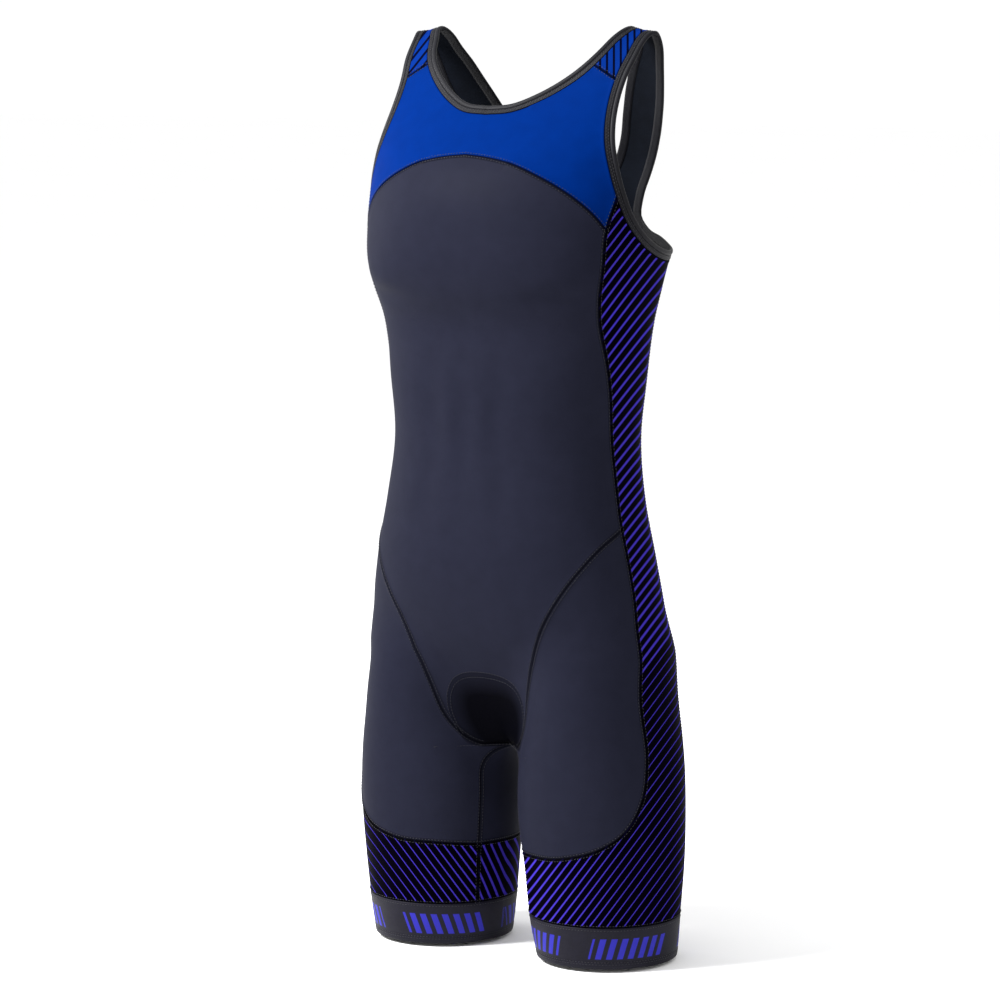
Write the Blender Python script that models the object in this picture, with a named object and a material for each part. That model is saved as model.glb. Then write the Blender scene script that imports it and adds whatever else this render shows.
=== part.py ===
"""A sleeveless triathlon suit, worn and hollow, with no wearer in it.

Metres, +Z up. The wearer faces -Y and the wearer's left is +X.
The origin is where the wearer's shoulders hold the suit: midway between the
straps, on the shoulder line.

One smooth form gives the whole suit. Its points are named by two measures, as on
a paper pattern: around, from 0 at the centre front past 0.5 at the side to 1 at
the centre back, and drop, the metres down from the shoulder line. Below the
crotch, around goes once round the leg, from the inseam back to the inseam.
A negative drop goes over the shoulder onto the other face of the suit.
Every panel is cut from that form along named seams, and gets its wall inwards.
"""
import bmesh
import bpy
import numpy as np
from collections import namedtuple
from math import pi
from mathutils import Vector
from mathutils.geometry import delaunay_2d_cdt

# Cloth and sewing sizes
WALL = 0.0015
SEAM_GAP = 0.0003
BINDING_WIDTH = 0.0095
BINDING_PROUD = 0.0006
BINDING_ROLL = 0.0009
BINDING_ROLL_WIDTH = 0.0052
BINDING_EASE = 0.0012
GRIPPER_TOP = 0.885
GRIPPER_PROUD = 0.0004
HEM = 0.928
CROTCH_SEAM = 0.008
PAD_EDGE = 0.0025
PAD_MIDDLE = 0.0075
PAD_CLEARANCE = 0.0012

# How finely the solids are faceted
PATTERN_WIDTH = 0.450
CELL_ACROSS = 0.019
CELL_ALONG = 0.026
CELL_SEAT = 0.011
CELL_SHOULDER = 0.009
SEAM_STEP = 0.018
SHOULDER_STEP = 0.007
SHOULDER_BELOW = 0.045
SEAT_ABOVE = 0.140
SEAT_BELOW = 0.030
SEAT_AROUND = 0.13

# Shoulder line and crotch shape
STRAP_INNER = 0.112
SHOULDER_SLOPE = 0.17
SLOPE_REACH = 0.120
SHOULDER_ROUND = 0.035
CROTCH_ROUND = 0.060
SEAT_START = 0.600
SEAT_END = 0.716
OVAL_ABOVE = 0.400
LEG_SINK = 0.02
LEG_SHOWS = 0.62
LEG_EMERGES = 0.10
QUARTER = 0.25
FOLD_NEAR = 0.04
FOLD_FADES = 0.10
LOWER_BODY = 0.45

# The body's horizontal sections, an oval with its own depth and squareness to
# the front and to the back
BODY_COLUMNS = ("drop", "half_width", "front", "back", "centre", "square_front", "square_back")
BODY = (
    (0.000, 0.172, 0.000, 0.000, 0.000, 2.0, 2.0),
    (0.014, 0.174, 0.027, 0.027, -0.002, 2.0, 2.0),
    (0.034, 0.178, 0.045, 0.039, -0.004, 2.0, 2.0),
    (0.058, 0.181, 0.059, 0.050, -0.006, 2.0, 2.1),
    (0.083, 0.181, 0.077, 0.062, -0.007, 2.0, 2.2),
    (0.110, 0.177, 0.099, 0.075, -0.008, 2.0, 2.4),
    (0.135, 0.172, 0.119, 0.085, -0.009, 2.0, 2.5),
    (0.165, 0.168, 0.130, 0.092, -0.012, 2.1, 2.5),
    (0.200, 0.162, 0.129, 0.098, -0.018, 2.3, 2.5),
    (0.235, 0.156, 0.121, 0.100, -0.025, 2.45, 2.4),
    (0.258, 0.151, 0.110, 0.101, -0.029, 2.4, 2.4),
    (0.286, 0.145, 0.096, 0.100, -0.030, 2.3, 2.3),
    (0.350, 0.136, 0.095, 0.094, -0.030, 2.3, 2.3),
    (0.410, 0.131, 0.092, 0.090, -0.031, 2.3, 2.3),
    (0.470, 0.138, 0.095, 0.094, -0.034, 2.3, 2.3),
    (0.530, 0.150, 0.099, 0.102, -0.034, 2.3, 2.3),
    (0.590, 0.160, 0.086, 0.110, -0.033, 2.4, 2.3),
    (0.650, 0.162, 0.063, 0.110, -0.029, 2.4, 2.4),
    (0.700, 0.161, 0.046, 0.100, -0.026, 3.0, 2.6),
    (0.760, 0.161, 0.042, 0.090, -0.026, 3.0, 2.6),
)

# The leg's sections, an oval of its own centre
LEG_COLUMNS = ("drop", "centre_x", "centre_y", "half_width", "half_depth", "square")
LEG = (
    (0.540, 0.080, -0.027, 0.054, 0.062, 2.1),
    (0.600, 0.093, -0.027, 0.064, 0.076, 2.0),
    (0.660, 0.098, -0.025, 0.070, 0.085, 2.0),
    (0.700, 0.099, -0.023, 0.076, 0.086, 2.0),
    (0.730, 0.098, -0.023, 0.080, 0.085, 2.1),
    (0.780, 0.098, -0.023, 0.083, 0.083, 2.1),
    (0.840, 0.100, -0.021, 0.080, 0.080, 2.0),
    (0.890, 0.100, -0.020, 0.075, 0.076, 2.0),
    (0.925, 0.101, -0.018, 0.070, 0.072, 2.0),
    (0.960, 0.101, -0.018, 0.064, 0.066, 2.0),
)

# How softly the leg flows into the body, from the hip down to the crotch
FILLET_COLUMNS = ("drop", "radius")
FILLET = ((0.500, 0.0001), (0.600, 0.024), (0.670, 0.032), (0.730, 0.046))

# Free edges and seams. Each row is a point of the line, with the mark of the
# seam that meets it there.
LINE_COLUMNS = ("mark", "around", "drop")
NECK_EDGE = (
    ("front", 0.000, 0.084),
    ("", 0.060, 0.082),
    ("", 0.125, 0.072),
    ("", 0.190, 0.057),
    ("strap_front", 0.240, 0.042),
    ("", 0.287, 0.024),
    ("ridge", 0.328, 0.000),
    ("", 0.300, -0.024),
    ("strap_back", 0.252, -0.045),
    ("", 0.208, -0.068),
    ("", 0.172, -0.092),
    ("", 0.132, -0.122),
    ("", 0.086, -0.150),
    ("", 0.040, -0.168),
    ("back", 0.000, -0.174),
)
ARM_EDGE = (
    ("ridge", 0.425, 0.000),
    ("", 0.393, 0.024),
    ("strap_front", 0.346, 0.060),
    ("", 0.333, 0.085),
    ("", 0.336, 0.113),
    ("", 0.354, 0.141),
    ("side_front", 0.374, 0.164),
    ("", 0.404, 0.186),
    ("", 0.446, 0.203),
    ("", 0.507, 0.216),
    ("", 0.583, 0.222),
    ("side_back", 0.665, 0.219),
    ("", 0.738, 0.211),
    ("", 0.790, 0.204),
    ("", 0.818, 0.192),
    ("", 0.812, 0.175),
    ("", 0.783, 0.150),
    ("", 0.740, 0.121),
    ("", 0.680, 0.084),
    ("strap_back", 0.634, 0.050),
    ("", 0.600, 0.025),
    ("end", 0.575, 0.000),
)
YOKE_ARC = (
    ("front", 0.000, 0.129),
    ("", 0.050, 0.131),
    ("", 0.110, 0.136),
    ("", 0.180, 0.148),
    ("", 0.250, 0.165),
    ("", 0.305, 0.183),
    ("side", 0.342, 0.199),
)
SIDE_FRONT = (
    ("arm", 0.366, 0.165),
    ("yoke", 0.342, 0.199),
    ("", 0.347, 0.231),
    ("", 0.369, 0.283),
    ("", 0.402, 0.330),
    ("", 0.431, 0.385),
    ("", 0.444, 0.440),
    ("vee", 0.444, 0.492),
    ("", 0.446, 0.550),
    ("", 0.437, 0.606),
    ("", 0.432, 0.664),
    ("", 0.437, 0.720),
    ("", 0.422, 0.758),
    ("", 0.385, 0.788),
    ("", 0.330, 0.806),
    ("", 0.260, 0.816),
    ("", 0.165, 0.821),
    ("inseam", 0.075, 0.826),
)
SIDE_BACK = (
    ("arm", 0.665, 0.219),
    ("", 0.658, 0.262),
    ("", 0.650, 0.310),
    ("", 0.645, 0.365),
    ("", 0.642, 0.430),
    ("vee", 0.641, 0.492),
    ("", 0.641, 0.550),
    ("", 0.643, 0.606),
    ("", 0.644, 0.664),
    ("", 0.641, 0.720),
    ("", 0.646, 0.758),
    ("", 0.667, 0.788),
    ("", 0.705, 0.805),
    ("", 0.760, 0.815),
    ("", 0.840, 0.821),
    ("", 0.960, 0.826),
    ("inseam", 1.075, 0.826),
)
VEE_FRONT = (
    ("side", 0.444, 0.492),
    ("", 0.372, 0.508),
    ("", 0.300, 0.534),
    ("", 0.245, 0.562),
    ("", 0.205, 0.590),
    ("", 0.165, 0.624),
    ("", 0.138, 0.652),
    ("", 0.115, 0.682),
    ("crotch", 0.060, 0.7214),
)
VEE_BACK = (
    ("side", 0.641, 0.492),
    ("", 0.694, 0.511),
    ("", 0.745, 0.541),
    ("", 0.788, 0.578),
    ("", 0.828, 0.620),
    ("", 0.868, 0.663),
    ("", 0.907, 0.699),
    ("crotch", 0.945, 0.7214),
)
INSEAM = (
    ("crotch", 0.000, 0.730),
    ("", 0.040, 0.735),
    ("", 0.064, 0.752),
    ("", 0.072, 0.784),
    ("band", 0.075, 0.826),
    ("gripper", 0.074, GRIPPER_TOP),
)

# The seat pad's half width along its length, from its front end under the crotch
# to its back end
PAD_COLUMNS = ("reach", "half_width")
PAD = (
    (-0.095, 0.020),
    (-0.080, 0.036),
    (-0.055, 0.042),
    (-0.030, 0.036),
    (0.000, 0.026),
    (0.030, 0.040),
    (0.070, 0.058),
    (0.110, 0.062),
    (0.140, 0.048),
    (0.155, 0.026),
)

CLOTH_ROUGHNESS = 0.6
COLOURS = {
    "yoke_lycra": (0.0, 0.047, 0.38),
    "body_lycra": (0.030, 0.031, 0.052),
    "striped_lycra": (0.008, 0.004, 0.030),
    "strap_lycra": (0.0, 0.030, 0.24),
    "binding_knit": (0.032, 0.030, 0.036),
    "gripper_knit": (0.022, 0.020, 0.028),
    "pad_foam": (0.012, 0.012, 0.016),
}


def smooth_table(rows):
    """A smooth curve through a table's rows, read at any value of its first column."""
    table = np.array(rows, float)
    x = table[:, :1]
    gap = np.diff(x, axis=0)
    slope = np.diff(table, axis=0) / gap
    lean = np.concatenate([slope[:1], slope, slope[-1:]])
    wide = np.concatenate([gap[:1], gap, gap[-1:]])
    tangent = (lean[:-1] * wide[1:] + lean[1:] * wide[:-1]) / (wide[:-1] + wide[1:])

    def read(value):
        value = np.clip(np.asarray(value, float), x[0, 0], x[-1, 0])
        row = np.clip(np.searchsorted(x[:, 0], value) - 1, 0, len(gap) - 1)
        h = gap[row]
        s = ((value - x[row, 0]) / gap[row, 0])[..., None]
        return ((1 + 2 * s) * (1 - s) ** 2 * table[row] + s * (1 - s) ** 2 * h * tangent[row]
                + s * s * (3 - 2 * s) * table[row + 1] + s * s * (s - 1) * h * tangent[row + 1])

    return read


def named_table(columns, rows):
    """A smooth curve through a table's rows that gives its columns by their names."""
    row, read = namedtuple("Row", columns), smooth_table(rows)
    return lambda value: row(*np.moveaxis(read(value), -1, 0))


def outside(dx, dy, half_width, front, back, square_front, square_back, past=0, deep=1):
    """How far a point lies outside an oval, along the line from its centre. Past the
    start of its rounded lower end, the oval closes over the deep measure."""
    square = np.where(dy < 0, square_front, square_back)
    depth = np.where(dy < 0, front, back)
    flat = (np.abs(dx) / half_width) ** square + (np.abs(dy) / depth) ** square
    ratio = (flat + (past / deep) ** square) ** (1 / square)
    return np.sqrt(dx * dx + dy * dy + past * past) * (1 - 1 / np.maximum(ratio, 1e-6))


class Form:
    """The suit's smooth outer surface."""

    def __init__(self, columns=161, samples=241):
        self.body = named_table(BODY_COLUMNS, [(row[0] ** 0.5, *row[1:]) for row in BODY])
        self.leg = named_table(LEG_COLUMNS, LEG)
        self.fillet = named_table(FILLET_COLUMNS, FILLET)
        self.crotch_drop, self.crotch_y = self.find_crotch()
        self.rows = self.section_drops()
        self.around = np.linspace(0, 1, columns)
        outlines = np.stack([self.half_outline(drop, samples) for drop in self.rows])
        self.table = self.even_columns(outlines, samples - 1)

    def section_drops(self):
        """Drops of the sections, closer together at the shoulder line and the crotch."""
        fine = np.linspace(0, 1, 60) ** 3
        even = np.arange(0, 0.962, 0.0025)
        drops = np.concatenate([even, 0.05 * fine, self.crotch_drop - 0.03 * fine,
                                self.crotch_drop + 0.03 * fine])
        return np.unique(np.round(drops, 7))

    def section(self, drop):
        """A function of x and y that is below 0 inside the suit at this drop."""
        body, leg = self.body(drop ** 0.5), self.leg(drop)
        past = max(drop - SEAT_START, 0)
        fillet = self.fillet(drop).radius
        hidden = LEG_SINK * min(max((LEG_SHOWS - drop) / LEG_EMERGES, 0), 1)

        def field(x, y):
            trunk = outside(x, y - body.centre, body.half_width, body.front, body.back,
                            body.square_front, body.square_back, past, SEAT_END - SEAT_START)
            thigh = hidden + outside(np.abs(x) - leg.centre_x, y - leg.centre_y, leg.half_width,
                                     leg.half_depth, leg.half_depth, leg.square, leg.square)
            share = np.clip(0.5 + 0.5 * (thigh - trunk) / fillet, 0, 1)
            return thigh * (1 - share) + trunk * share - fillet * share * (1 - share)

        return field

    def find_crotch(self):
        """The drop and depth of the lowest point between the legs."""
        high, low = 0.66, 0.80
        y = np.linspace(-0.08, 0.04, 1201)
        for _ in range(40):
            middle = (high + low) / 2
            if (self.section(middle)(0 * y, y) < 0).any():
                high = middle
            else:
                low = middle
        return high, y[np.argmin(self.section(high)(0 * y, y))]

    def half_outline(self, drop, samples):
        """Points of a section from centre front, or inseam, past the side to the back."""
        share = np.linspace(0, 1, samples)
        body, leg = self.body(drop ** 0.5), self.leg(drop)
        if drop < OVAL_ABOVE:
            halves = []
            for depth, square in ((-body.front, body.square_front), (body.back, body.square_back)):
                angle = share * pi / 2
                x = body.half_width * np.cos(angle) ** (2 / square)
                x[-1] = 0
                halves.append(np.stack([x, body.centre + depth * np.sin(angle) ** (2 / square)], 1))
            return np.concatenate([halves[0][::-1], halves[1][1:]])
        field = self.section(drop)
        span = (OVAL_ABOVE, self.crotch_drop)
        x0 = np.interp(drop, span, (0.02, leg.centre_x))
        y0 = np.interp(drop, span + (HEM,), (body.centre, self.crotch_y, leg.centre_y))
        turn_front = turn_back = pi
        if drop < self.crotch_drop:
            ends = [edge_distance(lambda r: field(0 * r, y0 + way * r), np.array([0.3]))[0]
                    for way in (-1, 1)]
            turn_front, turn_back = [np.arctan2(end, -x0) for end in ends]
        angle = np.concatenate([-turn_front * share[::-1], turn_back * share[1:]])
        cosine, sine = np.cos(angle), np.sin(angle)
        far = np.where(cosine < 0, np.minimum(0.4, x0 / np.maximum(-cosine, 1e-9)), 0.4)
        r = edge_distance(lambda r: field(x0 + r * cosine, y0 + r * sine), far)
        return np.stack([x0 + r * cosine, y0 + r * sine], 1)

    def even_columns(self, outlines, side):
        """The sections again, with their points at even shares of the way around."""
        step = np.linalg.norm(np.diff(outlines, axis=1), axis=2)
        length = np.concatenate([np.zeros((len(step), 1)), np.cumsum(step, axis=1)], axis=1)
        length -= length[:, side:side + 1]
        front, back = -length[:, 0], length[:, -1]
        calm_front, calm_back = self.calmed(front), self.calmed(back)
        a = self.around
        near_front = np.clip(1 - a / QUARTER, 0, 1) ** 2
        near_back = np.clip(1 - (1 - a) / QUARTER, 0, 1) ** 2
        table = np.zeros((len(self.rows), len(a), 3))
        for row, drop in enumerate(self.rows):
            to_front = calm_front[row] * (1 - 2 * a) + (front - calm_front)[row] * near_front
            to_back = calm_back[row] * (2 * a - 1) + (back - calm_back)[row] * near_back
            want = np.where(a < 0.5, -to_front, to_back)
            for axis in (0, 1):
                table[row, :, axis] = np.interp(want, length[row], outlines[row, :, axis])
            table[row, :, 2] = -drop
        return table

    def calmed(self, lengths, window=0.09, step=0.0005):
        """Lengths along the suit without the sudden change at the crotch."""
        fine = np.arange(self.rows[0], self.rows[-1], step)
        value = np.interp(fine, self.rows, lengths)
        k = int(window / step / 2)
        for _ in range(2):
            before, after = 2 * value[0] - value[k:0:-1], 2 * value[-1] - value[-2:-k - 2:-1]
            total = np.cumsum(np.concatenate([[0], before, value, after]))
            value = (total[2 * k + 1:] - total[:-2 * k - 1]) / (2 * k + 1)
        return np.interp(self.rows, fine, value)

    def section_drop(self, around, drop):
        """The level of a pattern point. Near the shoulder line and the crotch the
        levels close up, so that the cloth keeps its length where it lies flat."""
        rounded = drop * drop / np.sqrt(drop * drop + SHOULDER_ROUND ** 2)
        past = drop - self.crotch_drop
        folded = self.crotch_drop + past * np.abs(past) / np.sqrt(past * past + CROTCH_ROUND ** 2)
        near = np.clip(1 - np.minimum(around, 1 - around) / QUARTER, 0, 1)
        away = np.clip((np.abs(past) - FOLD_NEAR) / FOLD_FADES, 0, 1)
        near = near * near * (3 - 2 * near) * (1 - away * away * (3 - 2 * away))
        low = np.clip((drop - LOWER_BODY) / 0.1, 0, 1)
        return (1 - low) * rounded + low * ((1 - near) * drop + near * folded)

    def at(self, pattern, round_leg=False):
        """Places of pattern points, an array of around and drop. Past 0 or 1, around
        goes on over the other half of the suit or, with round_leg, round the same leg."""
        pattern = np.asarray(pattern, float)
        around, drop = pattern[..., 0], pattern[..., 1]
        over = drop < 0
        around, drop = np.where(over, 1 - around, around), np.abs(drop)
        if round_leg:
            same = drop > self.crotch_drop
            around = np.where(same, around % 1.0, around)
        other_half = (around < 0) | (around > 1)
        around = np.where(around < 0, -around, around)
        around = np.where(around > 1, 2 - around, around)
        level = self.section_drop(around, drop)
        row = np.clip(np.searchsorted(self.rows, level) - 1, 0, len(self.rows) - 2)
        part = np.clip((level - self.rows[row]) / (self.rows[row + 1] - self.rows[row]), 0, 1)
        column = around * (len(self.around) - 1)
        left = np.clip(column.astype(int), 0, len(self.around) - 2)
        across, part = (column - left)[..., None], part[..., None]
        table = self.table
        upper = table[row, left] * (1 - across) + table[row, left + 1] * across
        lower = table[row + 1, left] * (1 - across) + table[row + 1, left + 1] * across
        point = upper * (1 - part) + lower * part
        reach = np.clip(1 + point[..., 2] / SLOPE_REACH, 0, 1) ** 2
        point[..., 2] += WALL - SHOULDER_SLOPE * reach * np.maximum(point[..., 0] - STRAP_INNER, 0)
        point[..., 0] *= np.where(other_half, -1, 1)
        return point

    def slopes(self, pattern, round_leg=False, step=0.0015):
        """How the place changes with around and with drop, and the outward normal."""
        pattern = np.asarray(pattern, float)
        a = np.array([step / PATTERN_WIDTH, 0])
        d = np.array([0, step])
        by_around = (self.at(pattern + a, round_leg) - self.at(pattern - a, round_leg)) / (2 * a[0])
        by_drop = (self.at(pattern + d, round_leg) - self.at(pattern - d, round_leg)) / (2 * d[1])
        normal = np.cross(by_drop, by_around)
        return by_around, by_drop, normal / np.linalg.norm(normal, axis=-1, keepdims=True)

    def moved(self, pattern, push, round_leg=False):
        """Pattern points after their places are pushed along the cloth."""
        by_around, by_drop, _ = self.slopes(pattern, round_leg)
        aa, dd = (by_around ** 2).sum(-1), (by_drop ** 2).sum(-1)
        ad = (by_around * by_drop).sum(-1)
        pa, pd = (by_around * push).sum(-1), (by_drop * push).sum(-1)
        spread = aa * dd - ad * ad
        change = np.stack([(pa * dd - pd * ad) / spread, (pd * aa - pa * ad) / spread], -1)
        return pattern + change


def edge_distance(field, far, rounds=22):
    """Where a field turns from below 0 to above it, between 0 and far."""
    near = np.zeros_like(far)
    for _ in range(rounds):
        middle = (near + far) / 2
        inside = field(middle) < 0
        near, far = np.where(inside, middle, near), np.where(inside, far, middle)
    return (near + far) / 2


def draw_line(form, rows, round_leg=False):
    """A smooth seam through a table's points. Gives its pattern points and the
    number of the point at each mark."""
    rows = [namedtuple("Knot", LINE_COLUMNS)(*row) for row in rows]
    points = np.array([(row.around, row.drop) for row in rows])
    size = np.array([PATTERN_WIDTH, 1])
    chord = np.linalg.norm(np.diff(points * size, axis=0), axis=1)
    read = smooth_table(np.column_stack([np.concatenate([[0], np.cumsum(chord)]), points]))
    knots = np.concatenate([[0], np.cumsum(chord)])
    line, marks = [points[0]], {rows[0].mark: 0}
    for k, row in enumerate(rows[1:]):
        span = form.at(points[k:k + 2], round_leg)
        step = SHOULDER_STEP if np.abs(points[k:k + 2, 1]).mean() < SHOULDER_BELOW else SEAM_STEP
        count = max(1, round(float(np.linalg.norm(span[1] - span[0])) / step))
        for s in np.linspace(knots[k], knots[k + 1], count + 1)[1:]:
            line.append(read(s)[1:])
        marks[row.mark] = len(line) - 1
    return np.array(line), marks


def corner_push(before, after, normal, distance):
    """The push that moves a corner sideways, to the left of its way, by the distance
    from both of its edges."""
    sides = []
    for edge in (before, after):
        side = np.cross(normal, edge)
        sides.append(side / np.maximum(np.linalg.norm(side, axis=-1, keepdims=True), 1e-12))
    both = sides[0] + sides[1]
    length = np.maximum(np.linalg.norm(both, axis=-1, keepdims=True), 1e-9)
    lean = np.clip(length / 2, 0.4, 1)
    return both / length * distance / lean


def shifted(form, line, distance, closed=False, round_leg=False, ends=None, rounds=1):
    """A line moved along the cloth, to the left of its way, by a distance."""
    for _ in range(rounds):
        place = form.at(line, round_leg)
        if closed:
            before = place - np.roll(place, 1, axis=0)
            after = np.roll(place, -1, axis=0) - place
        else:
            step = np.diff(place, axis=0)
            first, last = (step[:1], step[-1:]) if ends is None else ends
            before, after = np.concatenate([first, step]), np.concatenate([step, last])
        normal = form.slopes(line, round_leg)[2]
        push = corner_push(before, after, normal, distance / rounds)
        line = form.moved(line, push, round_leg)
    return line


def flipped(line):
    """The same points, named from the other face of the suit."""
    return np.column_stack([1 - line[:, 0], -line[:, 1]])


def mirrored(line):
    """The same line on the other half, drawn the other way."""
    return (line * np.array([-1, 1]))[::-1]


def joined(*lines):
    """One closed outline from lines that follow each other."""
    outline = [lines[0][0]]
    for line in lines:
        for point in line:
            if np.abs(point - outline[-1]).max() > 1e-7:
                outline.append(point)
    if np.abs(outline[0] - outline[-1]).max() < 1e-7:
        outline.pop()
    return np.array(outline)


def cell_at(around, drop, form):
    """How far apart a panel's points lie here, across and along."""
    off = min(abs(around), abs(1 - around))
    if -SEAT_ABOVE < abs(drop) - form.crotch_drop < SEAT_BELOW and off < SEAT_AROUND:
        return CELL_SEAT, CELL_SEAT
    if abs(drop) < SHOULDER_BELOW:
        return CELL_ACROSS, CELL_SHOULDER
    return CELL_ACROSS, CELL_ALONG


def filled(outline, form):
    """Pattern points and triangles that fill an outline."""
    size = np.array([PATTERN_WIDTH, 1])
    loop = outline * size
    edge = np.roll(loop, -1, axis=0) - loop
    low, high = loop.min(0), loop.max(0)
    inner = []
    for cell in {(CELL_ACROSS, CELL_ALONG), (CELL_ACROSS, CELL_SHOULDER), (CELL_SEAT, CELL_SEAT)}:
        for k, down in enumerate(np.arange(low[1] + cell[1] / 2, high[1], cell[1])):
            shift = cell[0] * (0.25 + 0.5 * (k % 2))
            for across in np.arange(low[0] + shift, high[0], cell[0]):
                if cell_at(across / PATTERN_WIDTH, down, form) != cell:
                    continue
                way = np.array([across, down]) - loop
                share = np.clip((way * edge).sum(1) / (edge ** 2).sum(1), 0, 1)
                if np.linalg.norm(way - share[:, None] * edge, axis=1).min() > 0.45 * min(cell):
                    inner.append((across, down))
    points = [Vector(point) for point in np.concatenate([loop, sorted(inner)])]
    rim = [(k, (k + 1) % len(loop)) for k in range(len(loop))]
    found, _, faces, _, _, _ = delaunay_2d_cdt(points, rim, [], 1, 1e-7)
    used, faces = np.unique(faces, return_inverse=True)
    return np.array([tuple(found[k]) for k in used]) / size, faces.reshape(-1, 3).tolist()


def walled(outer, inner, faces):
    """A closed body from two skins that share their triangles, outer and inner."""
    count = len(outer)
    edges = {}
    for face in faces:
        for a, b in zip(face, face[1:] + face[:1]):
            edges[(a, b)] = edges.get((a, b), 0) + 1
    solid = [tuple(face) for face in faces]
    solid += [tuple(count + k for k in reversed(face)) for face in faces]
    for a, b in edges:
        if (b, a) not in edges:
            solid.append((b, a, count + a, count + b))
    return np.concatenate([outer, inner]), solid


def add_object(name, points, faces, material):
    """A named object with its faces pointing out."""
    mesh = bpy.data.meshes.new(name)
    mesh.from_pydata([tuple(point) for point in points], [], faces)
    body = bmesh.new()
    body.from_mesh(mesh)
    bmesh.ops.triangulate(body, faces=body.faces)
    if body.calc_volume(signed=True) < 0:
        bmesh.ops.reverse_faces(body, faces=body.faces)
    body.to_mesh(mesh)
    body.free()
    mesh.shade_smooth()
    mesh.set_sharp_from_angle(angle=pi / 4)
    mesh.materials.append(bpy.data.materials[material])
    thing = bpy.data.objects.new(name, mesh)
    bpy.data.collections["triathlon_suit"].objects.link(thing)
    return thing


def add_pair(name, points, faces, material):
    """The wearer's left piece, and its mirror image on the right."""
    add_object(name + "_left", points, faces, material)
    flip = [tuple(reversed(face)) for face in faces]
    add_object(name + "_right", points * np.array([-1, 1, 1]), flip, material)


def cut_panel(form, outline, round_leg=False):
    """A cloth panel: its outline drawn in by half a seam gap, filled, and walled."""
    ahead = np.roll(outline, -1, axis=0)
    turn = (outline[:, 0] * ahead[:, 1] - outline[:, 1] * ahead[:, 0]).sum()
    inward = -SEAM_GAP / 2 if turn > 0 else SEAM_GAP / 2
    pattern, faces = filled(shifted(form, outline, inward, True, round_leg), form)
    outer = form.at(pattern, round_leg)
    normal = form.slopes(pattern, round_leg)[2]
    return walled(outer, outer - WALL * normal, faces)


def straight(start, end, form, round_leg=False):
    """A seam with no curve on the pattern."""
    span = form.at(np.array([start, end]), round_leg)
    count = max(1, round(float(np.linalg.norm(span[1] - span[0])) / SEAM_STEP))
    return np.linspace(start, end, count + 1)


class Seams:
    """The suit's seams and free edges on the left half, as pattern lines."""

    def __init__(self, form):
        seat = form.crotch_drop - CROTCH_SEAM
        self.neck, neck_mark = draw_line(form, NECK_EDGE)
        self.arm, arm_mark = draw_line(form, ARM_EDGE)
        step = form.at(self.neck[[1, -2]]) - form.at(self.neck[[0, -1]])
        ends = (step[:1] * (1, -1, -1), -step[1:] * (1, -1, -1))
        self.neck_sewn = shifted(form, self.neck, -BINDING_WIDTH, ends=ends, rounds=3)
        self.neck_sewn[[0, -1], 0] = 0
        ring = shifted(form, self.arm[:-1], -BINDING_WIDTH, closed=True, rounds=3)
        self.arm_sewn = np.concatenate([ring, flipped(ring[:1])])
        n, a = neck_mark, arm_mark
        self.neck_front = self.neck_sewn[:n["strap_front"] + 1]
        self.neck_strap = self.neck_sewn[n["strap_front"]:n["strap_back"] + 1]
        self.neck_back = self.neck_sewn[n["strap_back"]:]
        self.arm_strap_front = self.arm_sewn[:a["strap_front"] + 1]
        self.arm_yoke = self.arm_sewn[a["strap_front"]:a["side_front"] + 1]
        self.arm_side = self.arm_sewn[a["side_front"]:a["side_back"] + 1]
        self.arm_back = self.arm_sewn[a["side_back"]:a["strap_back"] + 1]
        self.arm_strap_back = self.arm_sewn[a["strap_back"]:]
        self.strap_front = straight(self.neck_strap[0], self.arm_yoke[0], form)
        self.strap_back = straight(self.neck_strap[-1], flipped(self.arm_back[-1:])[0], form)
        self.arc, _ = draw_line(form, YOKE_ARC)
        front_rows = (("arm", *self.arm_side[0]),) + SIDE_FRONT[1:]
        front, f = draw_line(form, front_rows, round_leg=True)
        self.side_yoke, self.side_front = front[:f["yoke"] + 1], front[f["yoke"]:f["vee"] + 1]
        self.side_thigh = front[f["vee"]:]
        back_rows = (("arm", *self.arm_side[-1]),) + SIDE_BACK[1:]
        back, b = draw_line(form, back_rows, round_leg=True)
        self.side_back, self.side_thigh_back = back[:b["vee"] + 1], back[b["vee"]:]
        self.vee_front, _ = draw_line(form, VEE_FRONT[:-1] + (("crotch", VEE_FRONT[-1][1], seat),))
        self.vee_back, _ = draw_line(form, VEE_BACK[:-1] + (("crotch", VEE_BACK[-1][1], seat),))
        inseam_rows = (("crotch", 0, form.crotch_drop),) + INSEAM[1:]
        inseam, i = draw_line(form, inseam_rows, round_leg=True)
        self.inseam, self.inseam_band = inseam[:i["band"] + 1], inseam[i["band"]:]
        self.seat_front, self.seat_back = np.array([[0, seat]]), np.array([[1, seat]])
        around = np.linspace(1 + INSEAM[-1][1], INSEAM[-1][1], 36)
        self.cuff = np.column_stack([around, np.full(36, GRIPPER_TOP)])


def whole_round(line):
    """A copy of a line once round the leg from where it was."""
    return line + np.array([1, 0])


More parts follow.
